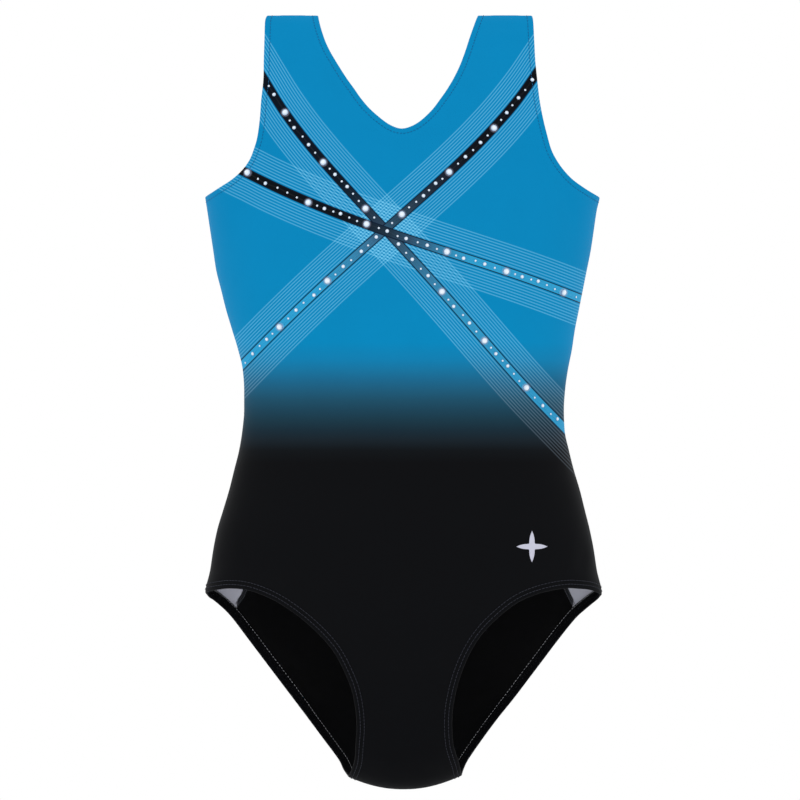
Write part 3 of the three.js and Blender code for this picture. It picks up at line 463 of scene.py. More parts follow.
def flat_half(back, e, step, rows=True):
    """A triangulated half: 3-D points, triangles, flat coordinates and boundary tags."""
    p, tag = outline(back, e, step * 0.9)
    s, v = to_flat(p, back)
    for i, t in enumerate(tag):
        if t[0] == "seam" or abs(p[i, 1]) < 1e-9:
            if abs(p[i, 2]) < 2:
                v[i] = 0
            elif p[i, 2] < -580:
                v[i] = V_MAX[back]
            else:
                s[i] = math.copysign(S_MAX, p[i, 0])
    poly = np.stack([s, v], 1)
    extra = []
    if rows:
        for i, t in enumerate(tag):
            if t[0] != "seam":
                continue
            for k in (0.6, 1.3, 2.2, 3.4):
                if abs(p[i, 2]) < 2:
                    extra.append((s[i], k))
                elif p[i, 2] < -580:
                    extra.append((s[i], V_MAX[back] - k))
                else:
                    extra.append((s[i] - math.copysign(k, s[i]), v[i]))
    inner = lattice(poly, step, step * 0.62, extra)
    xy, tri, src = triangulate(poly, inner)
    q = from_flat(xy[:, 0], xy[:, 1], back)
    tags = [None] * len(xy)
    for j, o in enumerate(src):
        if 0 <= o < len(poly):
            q[j] = p[o]; tags[j] = tag[o]
    return q, tri, xy, tags


GRID = 4.0
GS = int(2 * S_MAX / GRID) + 2
GV = int(max(V_MAX.values()) / GRID) + 2
DISP = {False: np.zeros((GS, GV, 3)), True: np.zeros((GS, GV, 3))}


def blur(g, r):
    for _ in range(3):
        for ax in (0, 1):
            pad = [(0, 0)] * 3; pad[ax] = (r, r)
            c = np.cumsum(np.pad(g, pad, mode="edge"), axis=ax)
            z = np.zeros_like(np.take(c, [0], ax))
            c = np.concatenate([z, c], ax)
            n = g.shape[ax]
            g = (np.take(c, np.arange(2 * r + 1, 2 * r + 1 + n), ax) - np.take(c, np.arange(n), ax)) / (2 * r + 1)
    return g


def settle():
    """Lets the knit settle on the body: a Cloth simulation of both halves sewn together, held along
    the elastic hems and the seams, pushed out gently and pulled down by its own weight. There is a
    little more cloth just inside the hems, where elastic gathers it."""
    from mathutils import kdtree
    pts, faces, flat, sides, keys = [], [], [], [], {}
    for back in (False, True):
        q, tri, xy, tags = flat_half(back, 7.0, 6.5, rows=False)
        ids = []
        for i in range(len(q)):
            k = None
            if abs(q[i, 1]) < 1e-6:
                k = (round(q[i, 0], 2), round(q[i, 2], 2))
                if k in keys:
                    ids.append(keys[k]); continue
            ids.append(len(pts)); pts.append(q[i]); flat.append(xy[i]); sides.append(back)
            if k:
                keys[k] = ids[-1]
        for a, b, c in tri:
            faces.append((ids[a], ids[b], ids[c]) if not back else (ids[a], ids[c], ids[b]))
    pts = np.array(pts); flat = np.array(flat); sides = np.array(sides)
    SC = 10.0                       # simulated ten times larger, which keeps the solver well scaled
    me = bpy.data.meshes.new("cloth_tmp")
    me.from_pydata((pts * MM * SC).tolist(), [], faces)
    ob = bpy.data.objects.new("cloth_tmp", me)
    bpy.context.scene.collection.objects.link(ob)
    hem = np.full(len(pts), 1e9)
    for lp in LOOPS.values():
        r = lp.rails[0]
        for i in range(0, len(pts), 500):
            d = np.linalg.norm(pts[i:i + 500, None] - r[None], axis=2).min(1)
            hem[i:i + 500] = np.minimum(hem[i:i + 500], d)
    seam = np.abs(pts[:, 1])
    pin = ob.vertex_groups.new(name="pin"); gather = ob.vertex_groups.new(name="gather")
    for i in range(len(pts)):
        w = 1.0 if (hem[i] < 8.5 or abs(pts[i, 1]) < 1e-6) else 0.0
        w = max(w, 0.25 * math.exp(-hem[i] / 14))
        pin.add([i], w, "REPLACE")
        leg = pts[i, 2] < -440
        g = math.exp(-((hem[i] - 16) / 13) ** 2) * (1.0 if leg else 0.55)
        gather.add([i], min(1, g), "REPLACE")
    mod = ob.modifiers.new("cloth", "CLOTH")
    st = mod.settings
    st.quality = 5; st.mass = 0.35; st.time_scale = 1.0
    st.tension_stiffness = 18; st.compression_stiffness = 14; st.shear_stiffness = 8; st.bending_stiffness = 0.35
    st.tension_damping = 8; st.compression_damping = 8; st.shear_damping = 8; st.bending_damping = 1.5
    st.air_damping = 4
    st.vertex_group_mass = "pin"; st.pin_stiffness = 6
    st.use_pressure = True; st.uniform_pressure_force = 0.12
    st.vertex_group_shrink = "gather"; st.shrink_min = 0.0; st.shrink_max = -0.05
    st.effector_weights.gravity = 0.25
    mod.collision_settings.use_collision = False
    sc = bpy.context.scene
    sc.frame_start = 1; sc.frame_end = 40
    mod.point_cache.frame_start = 1; mod.point_cache.frame_end = 40
    for f in range(1, 31):
        sc.frame_set(f)
    dg = bpy.context.evaluated_depsgraph_get()
    ev = ob.evaluated_get(dg)
    co = np.empty(len(pts) * 3); ev.data.vertices.foreach_get("co", co)
    d = co.reshape(-1, 3) / (MM * SC) - pts
    sc.frame_set(1); sc.frame_start = 1; sc.frame_end = 1
    bpy.data.objects.remove(ob, do_unlink=True); bpy.data.meshes.remove(me)
    if not np.isfinite(d).all():
        return
    n = normal_at(pts)
    along = (d * n).sum(-1)
    print("settle: outward mm min/mean/max", along.min(), along.mean(), along.max(), "verts", len(pts))
    # the body under the cloth stops it moving far: keep the fine wrinkles, limit the rest
    along = 2.6 * np.tanh(along / 2.6)
    side = d - n * (d * n).sum(-1, keepdims=True)
    sl = np.linalg.norm(side, axis=1, keepdims=True)
    side = side * (1.0 / np.maximum(1, sl / 0.3))
    d = n * along[:, None] + side
    for back in (False, True):
        m = np.where((sides == back) | (np.abs(pts[:, 1]) < 1e-6))[0]
        f2, v2 = to_flat(pts[m], back)
        tree = kdtree.KDTree(len(m))
        for j, i in enumerate(m):
            tree.insert((f2[j], v2[j], 0), int(i))
        tree.balance()
        near = np.zeros((GS, GV))
        for a in range(GS):
            for b in range(GV):
                hit = tree.find_n((-S_MAX + a * GRID, b * GRID, 0), 4)
                w = np.array([1 / (h[2] ** 2 + 1.5) for h in hit]); w /= w.sum()
                DISP[back][a, b] = (np.array([d[h[1]] for h in hit]) * w[:, None]).sum(0)
                near[a, b] = sum(hem[h[1]] * k for h, k in zip(hit, w))
        # the body holds the large shape, so only the finer gathers are kept
        DISP[back] -= blur(DISP[back], 7)
        a = np.linalg.norm(DISP[back], axis=2, keepdims=True)
        DISP[back] *= 1.5 / np.maximum(1, a * 1.5 / 0.9)
        # gathers belong to the elastic edges: away from them the knit lies smooth
        DISP[back] *= np.exp(-(np.maximum(near - 8, 0) / 26) ** 2)[:, :, None]
        print("gathers kept, mm:", float(np.linalg.norm(DISP[back], axis=2).max()))


def disp(s, v, back):
    g = DISP[back]
    a = np.clip((s + S_MAX) / GRID, 0, GS - 1.001); b = np.clip(v / GRID, 0, GV - 1.001)
    i = a.astype(int); j = b.astype(int); fa = (a - i)[:, None]; fb = (b - j)[:, None]
    r = (g[i, j] * (1 - fa) * (1 - fb) + g[i + 1, j] * fa * (1 - fb) + g[i, j + 1] * (1 - fa) * fb + g[i + 1, j + 1] * fa * fb)
    # nothing moves at the seams or the fold lines, so the halves stay together
    edge = np.minimum(np.minimum(S_MAX - np.abs(s), v), V_MAX[back] - v)
    return r * smooth(0, 9, edge)[:, None]


def seam_dent(s, v, back):
    e = np.minimum(np.minimum(S_MAX - np.abs(s), v * 1.0), V_MAX[back] - v)
    return -0.42 * np.exp(-(e / 1.3) ** 2)


def place(p, n, d, back=None):
    """Moves surface points out by d and lets them follow the settled cloth."""
    out = np.empty_like(p)
    bk = (p[:, 1] > 0) if back is None else np.full(len(p), back)
    d = np.broadcast_to(d, (len(p),))
    for side in (False, True):
        m = bk == side
        if not m.any():
            continue
        s, v = to_flat(p[m], side)
        out[m] = p[m] + n[m] * (d[m] + seam_dent(s, v, side))[:, None] + disp(s, v, side)
    return out


# ------------------------------------------------------------------ meshes
def make(name, verts_mm, faces, mat, body="garment", smooth_angle=50, uv=None, attrs=None, mats=None, face_mat=None):
    me = bpy.data.meshes.new(name)
    me.from_pydata((np.asarray(verts_mm) * MM).tolist(), [], [tuple(int(i) for i in f) for f in faces])
    me.validate(clean_customdata=False)
    me.polygons.foreach_set("use_smooth", [True] * len(me.polygons))
    for m in (mats or [mat]):
        me.materials.append(m)
    if face_mat is not None:
        me.polygons.foreach_set("material_index", list(face_mat))
    if smooth_angle is not None:
        me.set_sharp_from_angle(angle=math.radians(smooth_angle))
    for key, arr in (attrs or {}).items():
        a = me.attributes.new(key, "FLOAT_VECTOR", "POINT")
        a.data.foreach_set("vector", np.asarray(arr, float).ravel())
    if uv is not None:
        layer = me.uv_layers.new(name="OFBake")
        layer.data.foreach_set("uv", np.asarray(uv, float).ravel())
    me.update()
    ob = bpy.data.objects.new(name, me)
    bpy.context.scene.collection.objects.link(ob)
    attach(ob, body)
    return ob


class Bag:
    """Collects several closed bodies into one mesh."""

    def __init__(self):
        self.v, self.f, self.n, self.pat = [], [], 0, []

    def add(self, verts, faces, pat=None):
        verts = np.asarray(verts, float)
        self.v.append(verts); self.f += [[int(i) + self.n for i in f] for f in faces]
        self.pat.append(verts[:, [0, 2, 1]] if pat is None else pat)
        self.n += len(verts)

    def out(self):
        return np.vstack(self.v), self.f, np.vstack(self.pat)


def tube(path, radius, sides=6, closed=False, flat=None, up=None):
    """A round or oval thread along a path."""
    p = np.asarray(path, float); n = len(p)
    if closed:
        t = unit(np.roll(p, -1, 0) - np.roll(p, 1, 0))
    else:
        t = unit(np.gradient(p, axis=0))
    u = np.asarray(up, float) if up is not None else normal_at(p)
    u = unit(u - t * (u * t).sum(-1, keepdims=True)); b = np.cross(t, u)
    ry = radius; rx = radius if flat is None else flat
    a = np.linspace(0, 2 * math.pi, sides, endpoint=False)
    if not closed:                                  # rounded ends
        r = np.ones(n); r[0] = r[-1] = 0.35
        if n > 4:
            r[1] = r[-2] = 0.85
    else:
        r = np.ones(n)
    v = (p[:, None] + u[:, None] * (np.sin(a) * ry)[None, :, None] * r[:, None, None]
         + b[:, None] * (np.cos(a) * rx)[None, :, None] * r[:, None, None])
    v = v.reshape(-1, 3); f = []
    m = n if closed else n - 1
    for i in range(m):
        j = (i + 1) % n
        for k in range(sides):
            l = (k + 1) % sides
            f.append([i * sides + k, i * sides + l, j * sides + l, j * sides + k])
    if not closed:
        f.append(list(range(sides))[::-1]); f.append([(n - 1) * sides + k for k in range(sides)])
    return v, f


def at_arc(path, arc, w):
    return np.stack([np.interp(w, arc, path[:, k]) for k in range(3)], 1)


def closed_arc(p):
    q = np.vstack([p, p[:1]])
    return q, np.concatenate([[0], np.cumsum(np.linalg.norm(np.diff(q, axis=0), axis=1))])


def on_loop(lp, e, d, w):
    """Points at arc fraction w along the loop, e inside the edge, d from the surface."""
    p = lp.at(e); q, arc = closed_arc(p)
    r = at_arc(q, arc, np.mod(w, 1) * arc[-1])
    ok = np.abs(r[:, 1]) > 1e-6
    r[ok] = project(r[ok])
    return place(r, normal_at(r), d)


def stitch_row(bag, lp, e, base, pitch=2.9, length=2.35, radius=0.27, jitter=0.06, sign=1):
    """Lockstitches lying on the cloth: one short thread per stitch, dipping in at both ends."""
    p = lp.at(e); q, arc = closed_arc(p)
    n = int(round(arc[-1] / pitch))
    k = np.array([-0.5, -0.36, -0.18, 0, 0.18, 0.36, 0.5])
    h = np.array([-0.42, 0.02, 0.2, 0.26, 0.2, 0.02, -0.42]) * radius / 0.27
    c = (np.arange(n) + RNG.uniform(-jitter, jitter, n)) / n
    w = (c[:, None] + k[None] * length / arc[-1])
    pts = on_loop(lp, e, 0.0, w.ravel())
    nn = normal_at(pts)
    pts = pts + nn * (base + sign * np.tile(h, n))[:, None]
    pts = pts.reshape(n, len(k), 3); nn = nn.reshape(n, len(k), 3)
    for i in range(n):
        v, f = tube(pts[i], radius, 6, up=nn[i])
        bag.add(v, f)


def zigzag(lp, e0, e1, d, pitch, samples=6, amp=0.12, closed=True):
    """An overlock or coverstitch looper thread crossing between two rows."""
    total = lp.total
    n = int(round(total / pitch)) * samples
    w = np.arange(n) / n
    ph = (np.arange(n) % samples) / samples
    tri = 1 - np.abs(ph * 2 - 1)
    tri = 0.5 - 0.5 * np.cos(math.pi * tri)
    a = on_loop(lp, e0, d, w); b = on_loop(lp, e1, d, w)
    nn = normal_at(a)
    return a + (b - a) * tri[:, None] + nn * (amp * np.sin(ph * 4 * math.pi))[:, None]


HEM_PROFILE = ([(9, 0), (7.5, 0), (6.9, -0.02), (6.35, -0.09), (5.9, -0.03), (5.2, 0), (4.2, 0), (3.4, -0.02), (3.0, -0.08), (2.6, -0.02),
                (1.9, 0), (1.1, -0.02), (0.5, -0.1), (0.12, -0.32), (-0.12, -0.7), (-0.2, -1.05), (-0.12, -1.45), (0.12, -1.8), (0.5, -1.98),
                (1.2, -2.02), (2.4, -2.0), (3.0, -1.93), (3.6, -2.0), (5.0, -2.0), (6.2, -1.94)],
               [(5.0, -1.4), (3.0, -1.4), (1.3, -1.4), (0.7, -1.22), (0.55, -1.0), (0.7, -0.78), (1.3, -0.6), (4.0, -0.6), (9, -0.6)])

# neckline and armholes: one fine row near the fold
HEM_PROFILE_TOP = ([(9, 0), (7.5, 0), (6.6, 0), (5.8, 0), (5.0, -0.03), (4.4, -0.16), (3.8, -0.03), (3.3, 0), (2.9, 0), (2.5, 0),
                    (1.9, 0), (1.1, -0.02), (0.5, -0.1), (0.12, -0.32), (-0.12, -0.7), (-0.2, -1.05), (-0.12, -1.45), (0.12, -1.8), (0.5, -1.98),
                    (1.2, -2.02), (2.4, -2.0), (3.0, -2.0), (3.8, -1.98), (4.4, -1.94), (6.0, -2.0)],
                   HEM_PROFILE[1])


def panel(back):
    """One knit panel as a closed thin solid: cloth, with every hem turned under over its elastic."""
    q, tri, xy, tags = flat_half(back, HEM_RAIL, 4.6)
    n = normal_at(q)
    nv = len(q)
    outer = place(q, n, 0.0, back); inner = place(q, n, -CLOTH, back)
    V = [outer, inner]; pat = [q, q]; flat = [xy, xy]
    F, chart = [], []
    a, b, c = q[tri[:, 0]], q[tri[:, 1]], q[tri[:, 2]]
    flip = ((np.cross(b - a, c - a) * n[tri[:, 0]]).sum(-1) < 0)
    tri = np.where(flip[:, None], tri[:, ::-1], tri)
    for t in tri:
        F.append(list(t)); chart.append(0)
        F.append([int(i) + nv for i in t[::-1]]); chart.append(1)
    tag_at = {t: i for i, t in enumerate(tags) if t and t[0] != "seam"}
    base = 2 * nv
    open_edges = {}
    for name, _ in ROUND:
        lp, idx = half_parts(name, back)
        w = lp.hem
        shape = HEM_PROFILE if w > 7 else HEM_PROFILE_TOP
        prof = shape[0] + [(w - 0.15, -1.98), (w + 0.1, -1.7), (w - 0.15, -1.42)] + shape[1]
        m, r = len(prof), len(idx)
        rows = []
        ids = np.zeros((m, r), int)
        for j, (e, d) in enumerate(prof):
            if j in (0, m - 1):
                off = 0 if j == 0 else nv
                ids[j] = [tag_at[(name, int(i))] + off for i in idx]
                continue
            i0 = max(0.0, e)
            p = lp.at(i0)[idx]
            nn = normal_at(p)
            if e < 0:                               # past the fold edge
                t, fn, fb = lp.frame(lp.rails[0])
                out = -(fb * lp.side)[idx]
                pp = place(p, nn, d, back) + out * (-e)
            else:
                pp = place(p, nn, d, back)
            ids[j] = base + np.arange(r); base += r
            V.append(pp); pat.append(p)
            s, v = to_flat(p, back)
            flat.append(np.stack([s, v], 1))
        nvis = len(HEM_PROFILE[0])
        # direction of the ring for outward faces
        p0 = lp.at(9)[idx]; p1 = lp.at(5.0)[idx]
        k = r // 2
        tdir = p0[k + 1] - p0[k]; edir = p1[k] - p0[k]
        good = np.dot(np.cross(tdir, edir), normal_at(p0[k:k + 1])[0]) > 0
        for j in range(m - 1):
            for i in range(r - 1):
                f = [ids[j, i], ids[j, i + 1], ids[j + 1, i + 1], ids[j + 1, i]]
                F.append(f if good else f[::-1])
                if j < 15:
                    chart.append(0)
                elif j < nvis + 1:
                    chart.append(1)
                else:
                    chart.append(2)
        ca = [int(i) for i in ids[:, 0]]; cb = [int(i) for i in ids[:, -1]]
        F.append(ca if good else ca[::-1]); chart.append(2)
        F.append(cb[::-1] if good else cb); chart.append(2)
    # walls along the seams, where the cloth is cut
    cnt = {}
    for t in tri:
        for x, y in ((t[0], t[1]), (t[1], t[2]), (t[2], t[0])):
            cnt[(int(x), int(y))] = 1
    for (x, y) in cnt:
        if (y, x) in cnt:
            continue
        tx, ty = tags[x], tags[y]
        if tx and ty and tx[0] == ty[0] and tx[0] != "seam":
            continue
        F.append([y, x, x + nv, y + nv]); chart.append(2)
    V = np.vstack(V); pat = np.vstack(pat); flat = np.vstack(flat)
    # texture chart: the outer face large on the left, the inner face on the right, hidden faces in a corner
    vmax = max(V_MAX.values())
    uv = []
    for f, ch in zip(F, chart):
        for i in f:
            s, v = flat[i]
            if ch == 0:
                uv.append((0.005 + (s + S_MAX) / (2 * S_MAX) * 0.56, 0.995 - v / vmax * 0.985))
            elif ch == 1:
                uv.append((0.58 + (s + S_MAX) / (2 * S_MAX) * 0.41, 0.995 - v / vmax * 0.72))
            else:
                uv.append((0.58 + (s + S_MAX) / (2 * S_MAX) * 0.4, 0.02 + (1 - v / vmax) * 0.2))
    side = np.zeros(len(V))
    fm = [0] * len(F)
    # printed face, and the plain wrong side: inner layer only, the turned hem shows its right side
    for j, (f, ch) in enumerate(zip(F, chart)):
        if all(nv <= i < 2 * nv for i in f):
            fm[j] = 1
    return V, F, pat, uv, fm


def sheet_piece(name, back, outline_flat, d_top, thick, mat, step=5.0):
    """A lining panel lying on the inside of a half: closed thin solid from an outline in flat coordinates."""
    poly = np.asarray(outline_flat, float)
    inner = lattice(poly, step, step * 0.62)
    xy, tri, src = triangulate(poly, inner)
    q = from_flat(xy[:, 0], xy[:, 1], back)
    n = normal_at(q)
    nv = len(q)
    # the cloth edge is a little rounded and lies slightly lower
    e = dist_poly(xy, poly)
    top = place(q, n, d_top - 0.12 * np.exp(-(e / 1.5) ** 2), back); bot = place(q, n, d_top - thick, back)
    a, b, c = q[tri[:, 0]], q[tri[:, 1]], q[tri[:, 2]]
    flip = ((np.cross(b - a, c - a) * n[tri[:, 0]]).sum(-1) < 0)
    tri = np.where(flip[:, None], tri[:, ::-1], tri)
    F = [list(t) for t in tri] + [[int(i) + nv for i in t[::-1]] for t in tri]
    cnt = {(int(x), int(y)) for t in tri for x, y in ((t[0], t[1]), (t[1], t[2]), (t[2], t[0]))}
    for (x, y) in cnt:
        if (y, x) not in cnt:
            F.append([y, x, x + nv, y + nv])
    V = np.vstack([top, bot])
    ob = make(name, V, F, mat, attrs={"pat": np.vstack([q, q])[:, [0, 2, 1]]}, smooth_angle=55)
    return ob, poly


# ------------------------------------------------------------------ materials
def lin(c, k=1.0):
    out = []
    for v in c:
        v = v / 255
        v = v / 12.92 if v <= 0.04045 else ((v + 0.055) / 1.055) ** 2.4
        out.append(min(1, v * k))
    return tuple(out) + (1.0,)


EXPOSE = 1.06           # how bright the light makes a surface; colours are divided by it


class Mat:
    """A small helper over a node tree."""

    def __init__(self, name):
        self.m = bpy.data.materials.new(name)
        self.m.use_nodes = True
        self.t = self.m.node_tree
        self.t.nodes.clear()
        self.out = self.t.nodes.new("ShaderNodeOutputMaterial")
        self.b = self.t.nodes.new("ShaderNodeBsdfPrincipled")
        self.t.links.new(self.b.outputs[0], self.out.inputs[0])

    def node(self, kind, **kw):
        n = self.t.nodes.new(kind)
        for k, v in kw.items():
            setattr(n, k, v)
        return n

    def link(self, a, b):
        self.t.links.new(a, b)

    def math(self, op, a, b=None, c=None, clamp=False):
        n = self.node("ShaderNodeMath", operation=op, use_clamp=clamp)
        for i, v in enumerate((a, b, c)):
            if v is None:
                continue
            if isinstance(v, (int, float)):
                n.inputs[i].default_value = v
            else:
                self.link(v, n.inputs[i])
        return n.outputs[0]

    def step(self, v, edge, soft, rising=True):
        """1 above the edge (or below it), with a soft change of the given width."""
        n = self.node("ShaderNodeMapRange", interpolation_type="SMOOTHSTEP")
        self.link(v, n.inputs["Value"])
        n.inputs["From Min"].default_value = edge - soft / 2
        n.inputs["From Max"].default_value = edge + soft / 2
        n.inputs["To Min"].default_value = 0 if rising else 1
        n.inputs["To Max"].default_value = 1 if rising else 0
        return n.outputs["Result"]

    def ramp(self, v, stops, lo, hi, k=1.0):
        """Colour along v; stops are (position, colour) in v's own units."""
        n = self.node("ShaderNodeMapRange")
        self.link(v, n.inputs["Value"])
        n.inputs["From Min"].default_value = lo; n.inputs["From Max"].default_value = hi
        r = self.node("ShaderNodeValToRGB")
        self.link(n.outputs["Result"], r.inputs["Fac"])
        e = r.color_ramp.elements
        stops = sorted(stops)
        for i, (p, c) in enumerate(stops):
            x = (p - lo) / (hi - lo)
            el = e[i] if i < 2 else e.new(x)
            el.position = x; el.color = lin(c, k)
        return r.outputs["Color"]

    def mix(self, f, a, b, mode="MIX"):
        n = self.node("ShaderNodeMix", data_type="RGBA", blend_type=mode)
        for s, v in ((n.inputs[0], f), (n.inputs[6], a), (n.inputs[7], b)):
            if isinstance(v, (int, float)):
                s.default_value = v
            elif isinstance(v, tuple):
                s.default_value = v
            else:
                self.link(v, s)
        return n.outputs[2]

    def noise(self, scale, detail=2, rough=0.5, coord=None, dist=0.0):
        n = self.node("ShaderNodeTexNoise")
        n.inputs["Scale"].default_value = scale; n.inputs["Detail"].default_value = detail
        n.inputs["Roughness"].default_value = rough; n.inputs["Distortion"].default_value = dist
        if coord is not None:
            self.link(coord, n.inputs["Vector"])
        return n.outputs["Fac"]

    def bump(self, height, strength, dist, normal=None):
        n = self.node("ShaderNodeBump")
        n.inputs["Strength"].default_value = strength; n.inputs["Distance"].default_value = dist
        self.link(height, n.inputs["Height"])
        if normal is not None:
            self.link(normal, n.inputs["Normal"])
        return n.outputs["Normal"]

    def set(self, **kw):
        for k, v in kw.items():
            self.b.inputs[k.replace("_", " ")].default_value = v


def pat_coords(M):
    a = M.node("ShaderNodeAttribute", attribute_name="pat")
    s = M.node("ShaderNodeSeparateXYZ")
    M.link(a.outputs["Vector"], s.inputs[0])
    return a.outputs["Vector"], s.outputs[0], s.outputs[1], s.outputs[2]


def knit_bump(M, vec, strength=0.25, wale=0.62, course=0.5):
    """Fine ribs of a warp knit, crossed by its courses, and the slight unevenness of stretched cloth."""
    s = M.node("ShaderNodeSeparateXYZ"); M.link(vec, s.inputs[0])
    w = M.math("SINE", M.math("MULTIPLY", s.outputs[0], 2 * math.pi / wale))
    c = M.math("SINE", M.math("ADD", M.math("MULTIPLY", s.outputs[1], 2 * math.pi / course),
                              M.math("MULTIPLY", s.outputs[0], math.pi / wale)))
    fine = M.math("MULTIPLY", M.math("ADD", w, M.math("MULTIPLY", c, 0.55)), 0.32)
    n1 = M.noise(2.2, 3, 0.6, vec)
    n2 = M.noise(0.06, 2, 0.5, vec)
    h = M.math("ADD", fine, M.math("MULTIPLY", n1, 0.6))
    b = M.bump(h, strength, 0.00006)
    return M.bump(n2, 0.12, 0.0012, b)


# The print: three crossing bands on a colour that fades to black.
BAND_A = dict(p0=(-103.3, -64.2), u=(0.657453, -0.753495), L=343.6, c=[0.9588, -7.33, 18.8575, -17.105, -0.6399], first=4.96, pitch=2.12)
BAND_B = dict(p0=(102.7, -52.6), u=(-0.711915, -0.702265), L=321.25, c=[-0.5219, 5.4884, -18.3879, 19.5344, -0.1485], first=4.96, pitch=2.12)
BAND_C = dict(p0=(-124.2, -126.6), u=(0.935238, -0.354019), L=279.93, c=[-0.208, -0.5931, 7.4196, -11.2648, -0.6614], first=5.2, pitch=2.28)
OMBRE = [(-120, (0, 132, 187)), (-262, (0, 135, 189)), (-276, (12, 127, 177)), (-284, (20, 116, 160)), (-292, (25, 103, 141)), (-300, (28, 91, 122)),
         (-308, (28, 78, 102)), (-316, (26, 66, 86)), (-324, (24, 55, 70)), (-332, (22, 43, 55)), (-340, (22, 33, 41)),
         (-348, (13, 17, 21)), (-358, (8, 9, 12))]
CORE_A = [(0.0, (5, 14, 26)), (.25, (7, 18, 32)), (.31, (18, 38, 54)), (.37, (36, 56, 76)), (.44, (50, 75, 95)), (.5, (50, 103, 135)),
          (.56, (54, 126, 166)), (.62, (54, 146, 188)), (.69, (50, 152, 198)), (1.0, (48, 153, 200))]
CORE_B = [(0.0, (6, 9, 16)), (.25, (10, 14, 22)), (.31, (20, 28, 42)), (.37, (28, 41, 56)), (.44, (40, 62, 81)), (.5, (41, 75, 98)),
          (.56, (56, 106, 140)), (.62, (54, 132, 172)), (.69, (50, 148, 194)), (.75, (44, 160, 210)), (1.0, (42, 161, 212))]
CORE_C = [(0.0, (4, 9, 15)), (.31, (7, 13, 22)), (.37, (18, 32, 46)), (.44, (31, 51, 67)), (.5, (47, 78, 103)), (.56, (49, 108, 143)),
          (.62, (50, 144, 187)), (.69, (46, 159, 207)), (1.0, (50, 160, 208))]
LINE = [(-120, (76, 108, 110)), (-268, (76, 108, 110)), (-300, (74, 90, 100)), (-330, (62, 72, 82)), (-358, (52, 58, 64))]   # light added by a line


def band_coords(M, band, x, z):
    """Distance along a band (0..1) and distance across it from its curved centre line."""
    ux, uz = band["u"]; px, pz = band["p0"]
    dx = M.math("SUBTRACT", x, px); dz = M.math("SUBTRACT", z, pz)
    t = M.math("ADD", M.math("MULTIPLY", dx, ux), M.math("MULTIPLY", dz, uz))
    o = M.math("ADD", M.math("MULTIPLY", dx, -uz), M.math("MULTIPLY", dz, ux))
    h = M.math("MULTIPLY", t, 0.01)
    first, last = 0.0, band["L"] / 100 - 0.15
    tc = M.math("MINIMUM", M.math("MAXIMUM", h, first), last)
    poly = None
    for c in band["c"]:
        poly = c if poly is None else M.math("ADD", M.math("MULTIPLY", poly, tc), c)
    # straight on past both ends of the measured curve
    slope = np.polyder(np.array(band["c"]))
    poly = M.math("ADD", poly, M.math("MULTIPLY", M.math("MAXIMUM", M.math("SUBTRACT", h, last), 0.0), float(np.polyval(slope, last))))
    poly = M.math("ADD", poly, M.math("MULTIPLY", M.math("MINIMUM", M.math("SUBTRACT", h, first), 0.0), float(np.polyval(slope, first))))
    o = M.math("SUBTRACT", o, poly)
    return M.math("DIVIDE", t, band["L"]), M.math("ABSOLUTE", o)


def printed(M, k, lines=True):
    """The print's colour from the pattern coordinates."""
    vec, x, z, y = pat_coords(M)
    ground = M.ramp(z, OMBRE, -358, -120, k)
    if not lines:
        return vec, x, z, y, ground
    front = M.step(y, 0.05, 0.1, rising=False)
    linecol = M.ramp(z, LINE, -358, -120, k)
    col = ground
    bands = [band_coords(M, b, x, z) + (b,) for b in (BAND_A, BAND_B, BAND_C)]
    for t, o, b in bands:
        ph = M.math("DIVIDE", M.math("SUBTRACT", o, b["first"]), b["pitch"])
        fr = M.math("ABSOLUTE", M.math("SUBTRACT", M.math("FRACT", M.math("ADD", ph, 0.5)), 0.5))
        ln = M.step(fr, 0.42 / b["pitch"], 0.14, rising=False)
        inb = M.math("MULTIPLY", M.step(ph, -0.5, 0.05), M.step(ph, 7.5, 0.05, rising=False))
        m = M.math("MULTIPLY", M.math("MULTIPLY", ln, inb), front)
        col = M.mix(m, col, linecol, "ADD")
    for (t, o, b), core in zip(bands, (CORE_A, CORE_B, CORE_C)):
        c = M.ramp(t, core, 0, 1, k)
        rim = M.step(M.math("ABSOLUTE", M.math("SUBTRACT", o, 3.4)), 0.46, 0.3, rising=False)
        inside = M.step(o, 3.6, 0.3, rising=False)
        col = M.mix(M.math("MULTIPLY", inside, front), col, c)
        col = M.mix(M.math("MULTIPLY", M.math("MULTIPLY", rim, front), 0.9), col, lin((10, 26, 48), k))
    return vec, x, z, y, col


def cloth_finish(M, vec, rough, sheen, sheen_rough=0.35, spec=0.35, tint=(200, 220, 235), strength=0.25):
    M.set(Roughness=rough, Sheen_Weight=sheen, Sheen_Roughness=sheen_rough, Specular_IOR_Level=spec)
    M.b.inputs["Sheen Tint"].default_value = lin(tint)
    M.link(knit_bump(M, vec, strength), M.b.inputs["Normal"])


def vary(M, col, vec, amount=0.06, scale=0.03):
    """Slight unevenness of dye and stretch."""
    n = M.noise(scale, 3, 0.55, vec)
    f = M.math("MULTIPLY_ADD", n, 2 * amount, 1 - amount)
    c = M.node("ShaderNodeCombineColor")
    for i in range(3):
        M.link(f, c.inputs[i])
    return M.mix(1.0, col, c.outputs[0], "MULTIPLY")


